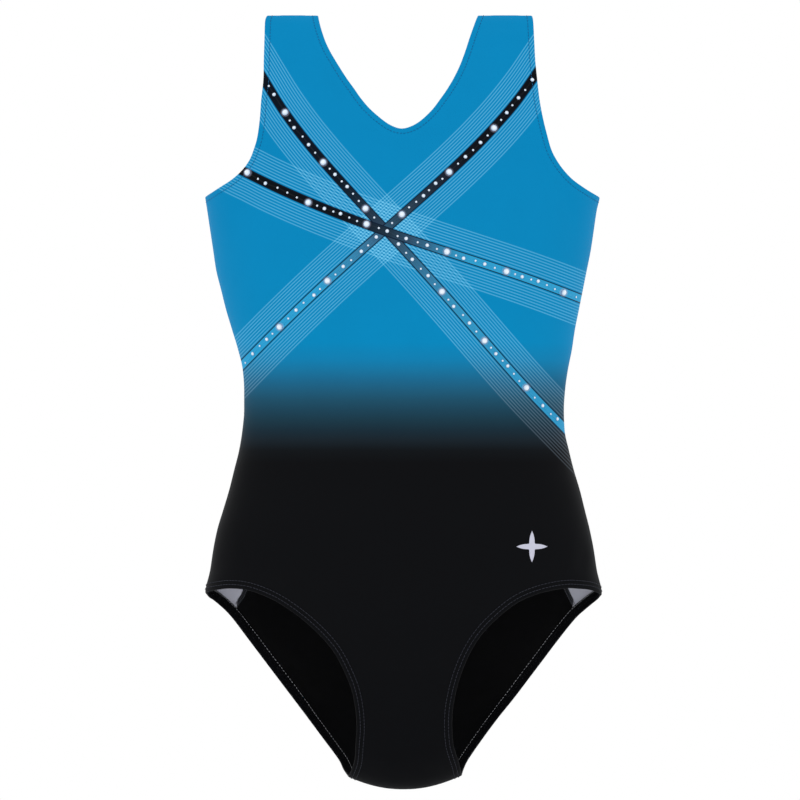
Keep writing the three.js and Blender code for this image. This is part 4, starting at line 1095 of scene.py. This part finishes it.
def build_materials(k):
    mats = {}
    M = Mat("printed_knit")
    vec, x, z, y, col = printed(M, k)
    M.link(vary(M, col, vec, 0.035), M.b.inputs["Base Color"])
    cloth_finish(M, vec, 0.62, 0.012, spec=0.05)
    mats["front"] = M.m
    M = Mat("plain_knit")
    vec, x, z, y, col = printed(M, k, lines=False)
    M.link(vary(M, col, vec, 0.035), M.b.inputs["Base Color"])
    cloth_finish(M, vec, 0.62, 0.012, spec=0.05)
    mats["back"] = M.m
    M = Mat("knit_wrong_side")
    vec, x, z, y = pat_coords(M)
    M.link(vary(M, lin((210, 211, 222), k), vec, 0.05), M.b.inputs["Base Color"])
    cloth_finish(M, vec, 0.75, 0.05, 0.5, 0.1, strength=0.35)
    mats["wrong"] = M.m
    M = Mat("black_lining")
    vec, x, z, y = pat_coords(M)
    M.link(vary(M, lin((9, 9, 10), k), vec, 0.16), M.b.inputs["Base Color"])
    cloth_finish(M, vec, 0.7, 0.02, 0.5, 0.05, strength=0.4)
    mats["lining"] = M.m
    for key, c, r in (("elastic", (226, 226, 224), 0.7), ("thread_grey", (46, 48, 58), 0.6), ("thread_black", (24, 24, 27), 0.6), ("thread_blue", (6, 100, 154), 0.55),
                      ("thread_white", (176, 178, 182), 0.7), ("thread_serge", (82, 84, 90), 0.7)):
        M = Mat(key)
        tc = M.node("ShaderNodeTexCoord")
        mp = M.node("ShaderNodeMapping"); mp.inputs["Scale"].default_value = (1000, 1000, 1000)
        M.link(tc.outputs["Object"], mp.inputs["Vector"])
        v = mp.outputs["Vector"]
        M.link(vary(M, lin(c, k), v, 0.14, 0.8), M.b.inputs["Base Color"])
        w = M.node("ShaderNodeTexWave", wave_type="BANDS", bands_direction="DIAGONAL")
        w.inputs["Scale"].default_value = 2.4; w.inputs["Distortion"].default_value = 1.5
        M.link(v, w.inputs["Vector"])
        M.set(Roughness=r, Sheen_Weight=0.04, Specular_IOR_Level=0.15)
        M.link(M.bump(w.outputs["Fac"], 0.5, 0.0001), M.b.inputs["Normal"])
        mats[key] = M.m
    M = Mat("stone")
    vec, rad, hh, _ = pat_coords(M)
    tc = M.node("ShaderNodeTexCoord")
    mp = M.node("ShaderNodeMapping"); mp.inputs["Scale"].default_value = (1000, 1000, 1000)
    M.link(tc.outputs["Object"], mp.inputs["Vector"])
    # colour by ring, from the middle out: a painted highlight makes the table pale white, and painted shade makes the
    # girdle darker and bluer
    r = M.node("ShaderNodeValToRGB"); M.link(rad, r.inputs["Fac"])
    e = r.color_ramp.elements
    e[0].position = 0.5; e[0].color = lin((238, 245, 251)); e[1].position = 1.0; e[1].color = lin((138, 166, 196))
    m = e.new(0.76); m.color = lin((206, 221, 236))
    n = M.noise(0.9, 2, 0.6, mp.outputs["Vector"])
    M.link(M.mix(M.math("MULTIPLY", n, 0.4), r.outputs["Color"], lin((190, 214, 240))), M.b.inputs["Base Color"])
    M.link(M.math("MULTIPLY_ADD", M.noise(3.0, 2, 0.5, mp.outputs["Vector"]), 0.1, 0.06), M.b.inputs["Roughness"])
    M.set(Specular_IOR_Level=0.55, Coat_Weight=0.3, Coat_Roughness=0.04)
    mats["stone"] = M.m
    M = Mat("film")
    vec, x, z, y, col = printed(M, k)
    # painted glow round the large stones: the film colour is pulled towards pale lilac by the per-vertex glow weights
    g = M.node("ShaderNodeAttribute", attribute_name="painted_glow")
    col = M.mix(M.math("MULTIPLY", g.outputs["Fac"], 0.8), col, lin((172, 172, 198), k))
    M.link(vary(M, col, vec, 0.05), M.b.inputs["Base Color"])
    M.set(Roughness=0.45, Specular_IOR_Level=0.1)
    M.link(M.bump(M.noise(1.6, 2, 0.5, vec), 0.15, 0.00008), M.b.inputs["Normal"])
    mats["film"] = M.m
    M = Mat("emblem")
    vec, x, z, y = pat_coords(M)
    M.link(vary(M, lin((196, 197, 214), k), vec, 0.05, 0.25), M.b.inputs["Base Color"])
    M.set(Roughness=0.34, Metallic=0.0, Specular_IOR_Level=0.3, Coat_Weight=0.15, Coat_Roughness=0.2)
    M.link(M.bump(M.noise(2.5, 3, 0.6, vec), 0.2, 0.0001), M.b.inputs["Normal"])
    mats["emblem"] = M.m
    M = Mat("label_satin")
    tc = M.node("ShaderNodeTexCoord")
    mp = M.node("ShaderNodeMapping"); mp.inputs["Scale"].default_value = (1000, 1000, 1000)
    M.link(tc.outputs["Object"], mp.inputs["Vector"])
    v = mp.outputs["Vector"]
    M.link(vary(M, lin((236, 236, 232), k), v, 0.05, 0.15), M.b.inputs["Base Color"])
    M.set(Roughness=0.34, Sheen_Weight=0.3, Specular_IOR_Level=0.5)
    w = M.node("ShaderNodeTexWave", wave_type="BANDS", bands_direction="Z")
    w.inputs["Scale"].default_value = 1.1; w.inputs["Distortion"].default_value = 0.4
    M.link(v, w.inputs["Vector"])
    M.link(M.bump(w.outputs["Fac"], 0.35, 0.00008), M.b.inputs["Normal"])
    mats["label"] = M.m
    return mats


# ------------------------------------------------------------------ build
scene = bpy.context.scene
scene.view_settings.view_transform = "Standard"
scene.view_settings.look = "None"
K = 1.0 / EXPOSE

settle()

MATS = build_materials(K)
done = set()


def stand_for(ob, *nodes, slot=None):
    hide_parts(*nodes)
    done.update(nodes)
    return ob


# --- the two knit panels
for back, name, mat in ((False, "front_panel", "front"), (True, "back_panel", "back")):
    V, F, pat, uv, fm = panel(back)
    ob = make("knit_" + name, V, F, None, mats=[MATS[mat], MATS["wrong"]], face_mat=fm,
              attrs={"pat": pat[:, [0, 2, 1]]}, uv=uv, smooth_angle=60)
    stand_for(ob, name, slot="printed_knit")


# --- elastics inside the hems
def elastic_ring(name, lp, e0, e1, nodes):
    prof = [(e0, -0.85), (e0 + 0.25, -0.7), (e0 + 1.2, -0.68), (e1 - 1.2, -0.68), (e1 - 0.25, -0.7), (e1, -0.85), (e1, -1.15),
            (e1 - 0.25, -1.3), (e1 - 1.2, -1.32), (e0 + 1.2, -1.32), (e0 + 0.25, -1.3), (e0, -1.15)]
    m, n = len(prof), lp.n
    V = []
    for e, d in prof:
        p = lp.at(e)
        V.append(place(p, normal_at(p), d))
    F = []
    t = lp.rails[5]; k = lp.nf // 2
    good = np.dot(np.cross(t[k + 1] - t[k], lp.rails[3][k] - lp.rails[5][k]), normal_at(t[k:k + 1])[0]) > 0
    for j in range(m):
        for i in range(n):
            a, b = j * n + i, j * n + (i + 1) % n
            c, d = ((j + 1) % m) * n + (i + 1) % n, ((j + 1) % m) * n + i
            F.append([a, b, c, d][::-1] if good else [a, b, c, d])
    ob = make(name, np.vstack(V), F, MATS["elastic"], smooth_angle=60)
    return stand_for(ob, *nodes, slot="elastic")


# name of the loop, CAD nodes it has
for key, node, w in (("neck", "neckline_elastic", 6.3), ("arm_left", "armhole_elastic_left", 6.3), ("arm_right", "armhole_elastic_right", 6.3),
                     ("leg_left", "leg_elastic_left", 7.2), ("leg_right", "leg_elastic_right", 7.2)):
    elastic_ring("band_" + node, LOOPS[key], 1.0, w, [node])

# --- topstitching, tone on tone, round the neckline and armholes; twin needle rows round the legs
for key, node in (("neck", "neckline_topstitch"), ("arm_left", "armhole_topstitch_left"), ("arm_right", "armhole_topstitch_right")):
    bag = Bag()
    stitch_row(bag, LOOPS[key], 4.4, -0.08, pitch=2.8, length=2.35, radius=0.2)
    v, f, pat = bag.out()
    # each stitch is a thread; the zig-zag inside is worked with them
    z = zigzag(LOOPS[key], 3.5, 5.4, -2.12, 2.8)
    tv, tf = tube(z, 0.16, 5, closed=True)
    bag.add(tv, tf)
    v, f, pat = bag.out()
    stand_for(make("thread_" + node, v, f, MATS["thread_blue"], smooth_angle=None), node, slot="blue_thread")
for side in ("left", "right"):
    lp = LOOPS["leg_" + side]
    for row, e in (("outer", 3.0), ("inner", 6.2)):
        bag = Bag()
        stitch_row(bag, lp, e, 0.05, pitch=2.9, length=2.45, radius=0.25)
        v, f, pat = bag.out()
        node = "leg_stitch_%s_%s" % (row, side)
        stand_for(make("thread_" + node, v, f, MATS["thread_grey"], smooth_angle=None), node, slot="grey_thread")
    bag = Bag()
    for ph in (0.0, 0.5):
        z = zigzag(lp, 3.0, 6.3, -2.14, 2.9)
        z = np.roll(z, int(len(z) * ph / (lp.total / 2.9)), 0)
        tv, tf = tube(z, 0.15, 5, closed=True)
        bag.add(tv, tf)
    nz = len(bag.f)
    stitch_row(bag, lp, 7.35, -2.28, pitch=2.9, length=1.7, radius=0.2, sign=-1)
    v, f, pat = bag.out()
    stand_for(make("thread_leg_looper_" + side, v, f, None, mats=[MATS["thread_black"], MATS["thread_white"]],
                   face_mat=[0] * nz + [1] * (len(f) - nz), smooth_angle=None), "leg_looper_" + side, slot="overlock_thread")


# --- seams: the joined edges lie as a bound ridge against the back panel, wrapped in overlock thread
def seam_run(kind):
    """Flat coordinates of a seam on the back half: the run along it, and how an offset k is added."""
    s = 1 if kind.endswith("left") else -1
    if kind.startswith("side"):
        arm, leg = LOOPS["arm_left" if s > 0 else "arm_right"], LOOPS["leg_left" if s > 0 else "leg_right"]
        cross = lambda lp, e: max((lp.at(e)[0], lp.at(e)[lp.nf - 1]), key=lambda q: abs(q[0]))
        ends = [cross(arm, 8.6), cross(leg, 9.4)]
        _, v = to_flat(np.array(ends) + [[0, 1e-4, 0]], True)
        return v[0], v[1], lambda w, k: (s * (S_MAX - k), w)
    if kind.startswith("shoulder"):
        arm, neck = LOOPS["arm_left" if s > 0 else "arm_right"], LOOPS["neck"]
        pa = [p for p in (arm.at(8.4)[0], arm.at(8.4)[arm.nf - 1]) if abs(p[2]) < 3][0]
        pn = sorted((neck.at(8.4)[0], neck.at(8.4)[neck.nf - 1]), key=lambda q: -s * q[0])[0]
        q, _ = to_flat(np.array([pn, pa]), True)
        return q[0], q[1], lambda w, k: (w, k)
    a = LOOPS["leg_right"]; b = LOOPS["leg_left"]
    pa = min((a.at(9.4)[0], a.at(9.4)[a.nf - 1]), key=lambda q: q[2]); pb = min((b.at(9.4)[0], b.at(9.4)[b.nf - 1]), key=lambda q: q[2])
    q, _ = to_flat(np.array([pa, pb]), True)
    return q[0], q[1], lambda w, k: (w, V_MAX[True] - k)


def seam_piece(kind, node):
    w0, w1, at = seam_run(kind)
    length = abs(w1 - w0)

    def pts(w, k, d):
        s, v = at(w, k)
        s = np.broadcast_to(s, w.shape).astype(float); v = np.broadcast_to(v, w.shape).astype(float)
        p = from_flat(s, v, True); n = normal_at(p)
        return place(p, n, d, True), n
    prof = [(0.6, -0.92), (0.95, -0.76), (2.6, -0.72), (4.1, -0.76), (4.6, -1.0), (4.65, -1.3), (4.2, -1.58), (2.6, -1.68), (0.95, -1.58), (0.6, -1.4)]
    m = max(12, int(length / 1.6)); w = np.linspace(w0, w1, m); k = len(prof)
    V = np.stack([pts(w, a, np.full(m, b))[0] for a, b in prof], 1)
    F = []
    for i in range(m - 1):
        for j in range(k):
            l = (j + 1) % k
            F.append([i * k + j, i * k + l, (i + 1) * k + l, (i + 1) * k + j])
    F.append(list(range(k))[::-1]); F.append([(m - 1) * k + j for j in range(k)])
    i = m // 2; c = V[i].mean(0)
    A, B, C = V[i, 7], V[i, 8], V[i + 1, 8]
    if np.dot(np.cross(B - A, C - A), A - c) < 0:
        F = [q[::-1] for q in F]
    bag = Bag(); bag.add(V.reshape(-1, 3), F)
    turns = int(length / 2.2); q = np.linspace(0.006, 0.994, turns * 12)
    ang = q * turns * 2 * math.pi
    P, nn = pts(w0 + (w1 - w0) * q, 2.62 + 2.2 * np.cos(ang), -1.2 + 0.6 * np.sin(ang))
    tv, tf = tube(P, 0.15, 5, up=nn)
    bag.add(tv, tf)
    v, f, pat = bag.out()
    return stand_for(make("overlock_" + node, v, f, MATS["thread_white"], smooth_angle=60), node, slot="overlock_thread")


for kind, node in (("side_left", "side_seam_left"), ("side_right", "side_seam_right"), ("shoulder_left", "shoulder_seam_left"),
                   ("shoulder_right", "shoulder_seam_right"), ("crotch", "crotch_seam")):
    seam_piece(kind, node)


# --- linings
def rail_part(name, back, e, lo, hi):
    """3-D points along a leg edge on one half, at distance e from it and no higher than hi, including the crossing at
    the crotch; lo is not used.
    """
    lp, idx = half_parts(name, back)
    p = lp.at(e)[idx]
    p = p[(p[:, 2] <= hi)]
    return p


def lining_outline(back, top, sides_l, sides_r, e=8.2, from_x=None):
    L = rail_part("leg_right", back, e, -999, top); R = rail_part("leg_left", back, e, -999, top)
    if sides_l is None:
        L = L[L[:, 2] <= top]; R = R[R[:, 2] <= top]
        L = L[np.abs(L[:, 0]) < from_x]; R = R[np.abs(R[:, 0]) < from_x]
        L = L[::3] if len(L) % 3 == 1 else np.vstack([L[::3], L[-1:]]); R = R[::3] if len(R) % 3 == 1 else np.vstack([R[::3], R[-1:]])
        pl, pr = L, R
    else:
        keep = lambda P, x: P[np.abs(P[:, 0]) < x]
        L = keep(L, 134.6); R = keep(R, 137.2)
        L = np.vstack([L[::3], L[-1:]]); R = np.vstack([R[::3], R[-1:]])
        sl = on_surface(*spline(sides_l, 20).T, back); sr = on_surface(*spline(sides_r, 20).T, back)
        pl = np.vstack([sl[:-1], L]); pr = np.vstack([sr[:-1], R])
    # left side goes down, right side comes up
    sL, vL = to_flat(pl, back); sR, vR = to_flat(pr, back)
    vL = np.minimum(vL, V_MAX[back] - 1.2); vR = np.minimum(vR, V_MAX[back] - 1.2)
    a = np.stack([sL, vL], 1); b = np.stack([sR, vR], 1)[::-1]
    n = max(3, int(abs(b[0][0] - a[-1][0]) / 4)); m = max(3, int(abs(b[-1][0] - a[0][0]) / 4))
    bottom = a[-1] + (b[0] - a[-1]) * np.linspace(0, 1, n)[1:-1, None]
    topl = b[-1] + (a[0] - b[-1]) * np.linspace(0, 1, m)[1:-1, None]
    poly = np.vstack([a, bottom, b, topl])
    keep = np.ones(len(poly), bool)
    d = np.linalg.norm(poly - np.roll(poly, 1, 0), axis=1)
    keep[d < 0.4] = False
    return poly[keep], len(topl)


SEAT_TOP = -392
SEAT_L = [[-112, SEAT_TOP], [-119, -425], [-129.0, -459], [-135.8, -472]]
SEAT_R = [[112, SEAT_TOP], [120, -425], [132.2, -458.4], [138.4, -472]]
seat_poly, _ = lining_outline(True, -455, SEAT_L, SEAT_R)
seat, seat_flat = sheet_piece("lining_seat", True, seat_poly, -0.7, 0.5, MATS["lining"])
stand_for(seat, "seat_lining", slot="black_lining")
front_poly, _ = lining_outline(False, -474, None, None, from_x=90)
gusset, gusset_flat = sheet_piece("lining_front_gusset", False, front_poly, -0.7, 0.5, MATS["lining"], step=4.0)
stand_for(gusset, "front_gusset_lining", slot="black_lining")


def overlock_edge(name, node, path_flat, back, wide=2.8):
    """Serged edge of a lining: a looped thread wrapping the cut edge."""
    p = np.asarray(path_flat, float)
    l = np.concatenate([[0], np.cumsum(np.linalg.norm(np.diff(p, axis=0), axis=1))])
    n = int(l[-1] / 2.1); q = np.linspace(0, l[-1], n * 10)
    c = np.stack([np.interp(q, l, p[:, 0]), np.interp(q, l, p[:, 1])], 1)
    t = unit(np.gradient(c, axis=0)); nr = np.stack([-t[:, 1], t[:, 0]], 1)
    ph = q / l[-1] * n * 2 * math.pi
    off = np.cos(ph) * wide / 2
    f2 = c + nr * off[:, None] + t * (np.sin(2 * ph) * 0.3)[:, None]
    f2[:, 1] = np.minimum(f2[:, 1], V_MAX[back] - 0.8)
    s = from_flat(f2[:, 0], f2[:, 1], back); nn = normal_at(s)
    h = np.where(np.sin(ph) > 0, -1.36, -1.36) - 0.12 * np.abs(np.sin(ph))
    path = place(s, nn, h, back)
    bag = Bag()
    tv, tf = tube(path, 0.17, 5, up=nn); bag.add(tv, tf)
    for o in (-wide / 2 + 0.3, wide / 2 - 0.3):       # the two needle threads along it
        g = c[::4] + nr[::4] * o
        g[:, 1] = np.minimum(g[:, 1], V_MAX[back] - 0.8)
        s2 = from_flat(g[:, 0], g[:, 1], back); n2 = normal_at(s2)
        tv, tf = tube(place(s2, n2, -1.34, back), 0.16, 5, up=n2); bag.add(tv, tf)
    v, f, pat = bag.out()
    return stand_for(make(name, v, f, MATS["thread_serge"], smooth_angle=None), node, slot="overlock_thread")


def flat_path(pts, back, n=40):
    s, v = to_flat(on_surface(*spline(pts, n).T, back), back)
    return np.stack([s, v], 1)


overlock_edge("overlock_seat_left", "seat_lining_edge_left", flat_path([[x - 1.6, z] for x, z in [[112.4, -396]] + SEAT_R[1:3] + [[138.6, -472.5]]], True), True)
overlock_edge("overlock_seat_right", "seat_lining_edge_right", flat_path([[x + 1.6, z] for x, z in [[-112.4, -396]] + SEAT_L[1:3] + [[-136.0, -472.5]]], True), True)
overlock_edge("overlock_seat_top", "seat_lining_edge_top", flat_path([[-109, SEAT_TOP - 1.6], [-54, SEAT_TOP - 1.6], [0, SEAT_TOP - 1.6], [54, SEAT_TOP - 1.6], [109, SEAT_TOP - 1.6]], True, 60), True)
g_top = front_poly[np.argsort(front_poly[:, 1])[:1], 1][0]
gx = front_poly[np.abs(front_poly[:, 1] - g_top) < 2.0]
a, b = gx[:, 0].min() + 3.5, gx[:, 0].max() - 3.5
overlock_edge("overlock_gusset_top", "front_lining_edge_top", np.stack([np.linspace(a, b, 40), np.full(40, g_top + 1.7)], 1), False)


# --- rhinestones on their carrier film
def stone(bag, x, z, size, base):
    d = (1.9, 3.1, 5.2)[size]; h = (0.8, 1.15, 1.7)[size]
    p = on_surface(np.array([x]), np.array([z]), False); n = normal_at(p)
    c = place(p, n, base, False)[0]; n = n[0]
    u = unit(np.cross(n, [0.13, 0.2, 1.0])); w = np.cross(n, u)
    k = {0: 8, 1: 10, 2: 12}[size]; r = d / 2
    turn = RNG.uniform(0, math.pi)
    rings = [(0.86, 0.0, 0), (1.0, 0.16, 0), (1.0, 0.26, 0.0), (0.78, 0.62, 0.5), (0.46, 1.0, 0.0)]
    V = []
    for rad, hh, ph in rings:
        a = (np.arange(k) + ph) / k * 2 * math.pi + turn
        V.append(c + (np.cos(a)[:, None] * u + np.sin(a)[:, None] * w) * r * rad + n * hh * h)
    F = []
    for j in range(len(rings) - 1):
        for i in range(k):
            l = (i + 1) % k
            A, B, C, D = j * k + i, j * k + l, (j + 1) * k + l, (j + 1) * k + i
            if rings[j][2] == rings[j + 1][2]:
                F.append([A, B, C, D])
            elif rings[j + 1][2] > rings[j][2]:
                F.append([A, B, D]); F.append([B, C, D])
            else:
                F.append([A, B, C]) if False else F.append([A, B, C])
                F.append([A, C, D])
    F.append(list(range(k))[::-1]); F.append([(len(rings) - 1) * k + i for i in range(k)])
    att = np.repeat(np.array([[q[0], q[1], 0] for q in rings]), k, 0)
    bag.add(np.vstack(V), F, att)


def halo(bag, x, z, painted_glow):
    """The pale ring round a large stone on the film: a thin raised disc whose colour is painted glow from the stone,
    fading outward.
    """
    a = np.arange(24) / 24 * 2 * math.pi
    # each ring: radius, height above the film, strength of the painted glow
    rings = [(0.0, 0.09, 0.6), (2.5, 0.09, 0.6), (3.0, 0.08, 0.3), (3.6, 0.06, 0.06), (4.0, 0.03, 0.0)]
    P, G = [], []
    for r, h, g in rings[1:]:
        p = on_surface(x + np.cos(a) * r, z + np.sin(a) * r, False)
        P.append((p, place(p, normal_at(p), 0.18 + h, False))); G += [g] * 24
    p = on_surface(x + np.cos(a) * 4.0, z + np.sin(a) * 4.0, False)
    P.append((p, place(p, normal_at(p), 0.02, False))); G += [0.0] * 24
    c = on_surface(np.array([x]), np.array([z]), False)
    P.append((c, place(c, normal_at(c), 0.27, False))); G.append(0.6)
    P.append((c, place(c, normal_at(c), 0.02, False))); G.append(0.0)
    m = 24; F = []
    for j in range(4):
        for i in range(m):
            l = (i + 1) % m
            F.append([j * m + i, (j + 1) * m + i, (j + 1) * m + l, j * m + l])
    top, bot = 5 * m, 5 * m + 1
    for i in range(m):
        l = (i + 1) % m
        F.append([i, l, top]); F.append([4 * m + l, 4 * m + i, bot])
    V = np.vstack([q[1] for q in P])
    A, B, C = V[0], V[1], V[top]
    if np.cross(B - A, C - A)[1] > 0:
        F = [f[::-1] for f in F]
    bag.add(V, F, np.vstack([q[0] for q in P])[:, [0, 2, 1]])
    painted_glow += G


def film_strip(bag, pts, width, base, thick):
    p = spline(pts, max(12, int(np.linalg.norm(np.subtract(pts[-1], pts[0])) / 2)))
    s = on_surface(p[:, 0], p[:, 1], False); n = normal_at(s); t = unit(np.gradient(s, axis=0)); b = np.cross(n, t)
    prof = [(-0.5, 0.0), (-0.5, 0.6), (-0.4, 1.0), (0.4, 1.0), (0.5, 0.6), (0.5, 0.0)]
    V = []
    for a, h in prof:
        q = s + b * (a * width)
        q = project(q)
        V.append(place(q, normal_at(q), base + h * thick, False))
    V = np.stack(V, 1); m, k = V.shape[:2]; F = []
    for i in range(m - 1):
        for j in range(k):
            l = (j + 1) % k
            F.append([i * k + j, (i + 1) * k + j, (i + 1) * k + l, i * k + l])
    F.append([j for j in range(k)]); F.append([(m - 1) * k + j for j in range(k)][::-1])
    bag.add(V.reshape(-1, 3), F, np.repeat(s, k, 0)[:, [0, 2, 1]])


ROWS = {"a_upper": STONES_A_UPPER, "a_lower": STONES_A_LOWER, "b_upper": STONES_B_UPPER, "b_lower": STONES_B_LOWER, "c": STONES_C}
for key, rows in ROWS.items():
    bag = Bag()
    film_strip(bag, [r[:2] for r in rows], 1.2, 0.02, 0.2)
    # painted glow weights, one per vertex, zero on the film strip
    painted_glow = [0.0] * bag.n
    for x, z, size in rows:
        if size == 2:
            halo(bag, x, z, painted_glow)
    nf = len(bag.f)
    for i, (x, z, size) in enumerate(rows):
        stone(bag, x, z, size, 0.5 if i == 0 and key in ("a_upper", "b_upper", "c") else (0.26 if size == 2 else 0.16))
    v, f, pat = bag.out()
    ob = make("stones_" + key, v, f, None, mats=[MATS["film"], MATS["stone"]], face_mat=[0] * nf + [1] * (len(f) - nf),
              attrs={"pat": pat}, smooth_angle=None)
    ob.data.polygons.foreach_set("use_smooth", [False] * len(ob.data.polygons))
    ga = ob.data.attributes.new("painted_glow", "FLOAT", "POINT")
    ga.data.foreach_set("value", painted_glow + [0.0] * (len(v) - len(painted_glow)))
    stand_for(ob, "rhinestones_" + key, slot="rhinestone")


# --- the plain star on the hip
def star():
    cx, cz, r = 102.5, -425, 12.5
    k = 4; ring = []
    for i in range(k * 2 * 6):
        a = i / (k * 2 * 6) * 2 * math.pi
        f = abs(((a / (2 * math.pi / k)) % 1) - 0.5) * 2      # 1 at the points, 0 between them
        ring.append((a, 3.4 + (r - 3.4) * f ** 2.2))
    a = np.array([q[0] for q in ring]); rad = np.array([q[1] for q in ring]); n = len(a)
    V, P = [], []
    for scale, d in ((1.0, 0.1), (1.0, 0.34), (0.965, 0.42), (0.66, 0.42), (0.33, 0.42)):
        x = cx + np.sin(a) * rad * scale; z = cz + np.cos(a) * rad * scale
        p = on_surface(x, z, False)
        V.append(place(p, normal_at(p), d, False)); P.append(p)
    for d in (0.42, 0.1):
        p = on_surface(np.array([cx]), np.array([cz]), False)
        V.append(place(p, normal_at(p), d, False)); P.append(p)
    F = []
    for j in range(4):
        for i in range(n):
            l = (i + 1) % n
            F.append([j * n + i, j * n + l, (j + 1) * n + l, (j + 1) * n + i])
    top, bot = 5 * n, 5 * n + 1
    for i in range(n):
        l = (i + 1) % n
        F.append([4 * n + i, 4 * n + l, top]); F.append([l, i, bot])
    V = np.vstack(V); P = np.vstack(P)
    A, B, C = V[F[0][0]], V[F[0][1]], V[F[0][2]]
    # faces of the side wall must look away from the star's middle
    if np.dot(np.cross(B - A, C - A), A - V[bot]) < 0:
        F = [q[::-1] for q in F]
    return V, F, P[:, [0, 2, 1]]


v, f, pat = star()
stand_for(make("film_star", v, f, MATS["emblem"], attrs={"pat": pat}, smooth_angle=40), "hip_emblem", slot="emblem_film")

# --- neck label: one ribbon folded double, hanging from its top edge
lo, hi = [np.array(c) * 1000 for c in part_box("neck_label")]
w = hi[0] - lo[0]; top = hi[2]; low = lo[2]; yc = 0.5 * (lo[1] + hi[1])
half = []
for z in np.linspace(top, low + 0.6, 34):
    half.append((yc + 0.2, z))
fold = [(yc + 0.2 * math.cos(a), low + 0.55 - 0.5 * math.sin(a)) for a in np.linspace(0.3, math.pi - 0.3, 7)]
path = half + fold + [(yc - 0.2, z) for z in np.linspace(low + 0.6, top, 34)]
path = np.array(path)
nx = 24
t = unit(np.gradient(path, axis=0)); nrm = np.stack([-t[:, 1], t[:, 0]], 1)
V, F = [], []
th = 0.13
for off in (th / 2, -th / 2):
    for i in range(len(path)):
        y, z = path[i] + nrm[i] * off
        for j in range(nx + 1):
            u = j / nx - 0.5
            drop = (top - z) / (top - low)
            V.append((0.5 * (lo[0] + hi[0]) + u * w * (1 - 0.012 * drop),
                      y + drop * (0.14 * math.sin(u * 5.2 + 0.5) + 0.05 * math.sin(u * 12)), z))
m = len(path); g = nx + 1; N = m * g
for i in range(m - 1):
    for j in range(nx):
        a, b, c, d = i * g + j, i * g + j + 1, (i + 1) * g + j + 1, (i + 1) * g + j
        F.append([a, b, c, d]); F.append([d + N, c + N, b + N, a + N])
for i in range(m - 1):
    F.append([i * g, (i + 1) * g, (i + 1) * g + N, i * g + N])
    F.append([(i + 1) * g + nx, i * g + nx, i * g + nx + N, (i + 1) * g + nx + N])
for j in range(nx):
    F.append([j + 1, j, j + N, j + 1 + N])
    a = (m - 1) * g + j
    F.append([a, a + 1, a + 1 + N, a + N])
V = np.array(V)
A, B, C = V[F[0][0]], V[F[0][1]], V[F[0][2]]
if np.cross(B - A, C - A)[1] < 0:
    F = [q[::-1] for q in F]
label = make("ribbon_neck_label", V, F, MATS["label"], body="label", smooth_angle=60)
stand_for(label, "neck_label", slot="label_satin")
slo, shi = [np.array(c) * 1000 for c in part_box("neck_label_stitch")]
bag = Bag()
for x in np.arange(slo[0] + 1.2, shi[0] - 1.0, 2.6):
    k = np.linspace(-1, 1, 7)
    p = np.stack([x + k * 1.1, np.full(7, slo[1] - 0.02) + 0.16 * k ** 2, np.full(7, 0.5 * (slo[2] + shi[2]))], 1)
    tv, tf = tube(p, 0.14, 6, up=np.tile([0, -1.0, 0], (7, 1))); bag.add(tv, tf)
k = np.linspace(0, 1, 30)
p = np.stack([slo[0] + 0.4 + k * (shi[0] - slo[0] - 0.8), np.full(30, 0.5 * (slo[1] + shi[1]) + 0.05), np.full(30, 0.5 * (slo[2] + shi[2]))], 1)
tv, tf = tube(p, 0.17, 6, up=np.tile([0, -1.0, 0], (30, 1))); bag.add(tv, tf)
v, f, pat = bag.out()
stand_for(make("thread_neck_label", v, f, MATS["thread_white"], smooth_angle=None), "neck_label_stitch", slot="overlock_thread")

missing = [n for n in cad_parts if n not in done]
print("CAD nodes without a piece:", missing)

# ------------------------------------------------------------------ camera, floor, light
cam_data = bpy.data.cameras.new("camera")
cam = bpy.data.objects.new("camera", cam_data)
scene.collection.objects.link(cam)
DIST = 20.0
cam_data.sensor_width = 36
cam_data.lens = 36 * DIST / 0.640
cam_data.clip_end = 100
cam.location = (-0.0028, -DIST, -0.308)
cam.rotation_euler = (math.pi / 2, 0, 0)
scene.camera = cam


def disc(name, radius, z, mat):
    n = 96
    v = [(0, 0, z)] + [(radius * math.cos(a), radius * math.sin(a), z) for a in np.linspace(0, 2 * math.pi, n, endpoint=False)]
    me = bpy.data.meshes.new(name)
    me.from_pydata(v, [], [(0, i + 1, (i + 1) % n + 1) for i in range(n)])
    me.materials.append(mat)
    ob = bpy.data.objects.new(name, me)
    scene.collection.objects.link(ob)
    ob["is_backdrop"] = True
    return ob


M = Mat("floor")
M.set(Roughness=0.9, Specular_IOR_Level=0.1)
M.b.inputs["Base Color"].default_value = (0.93, 0.93, 0.94, 1)
disc("floor", 0.95, -0.66, M.m)

world = bpy.data.worlds.new("studio")
scene.world = world
world.use_nodes = True
bg = world.node_tree.nodes["Background"]
bg.inputs[0].default_value = (1.0, 1.0, 1.0, 1)
bg.inputs[1].default_value = 1.0


def area(name, loc, target, size, power, colour=(1, 1, 1)):
    d = bpy.data.lights.new(name, "AREA")
    d.shape = "DISK"; d.size = size; d.energy = power; d.color = colour
    o = bpy.data.objects.new(name, d)
    scene.collection.objects.link(o)
    o.location = loc
    o.rotation_euler = (Vector(target) - Vector(loc)).to_track_quat("-Z", "Y").to_euler()
    return o


area("key", (-1.3, -2.4, 0.9), (0, 0, -0.3), 1.4, 5.5)
area("fill", (1.6, -2.2, 0.1), (0, 0, -0.3), 1.6, 2.5)
area("rim_left", (-1.8, 1.6, 0.5), (0, 0, -0.3), 1.2, 4)
area("rim_right", (1.8, 1.6, 0.5), (0, 0, -0.3), 1.2, 4)
area("top", (0, 0.1, 1.9), (0, 0, -0.3), 1.4, 3)

lo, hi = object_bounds()
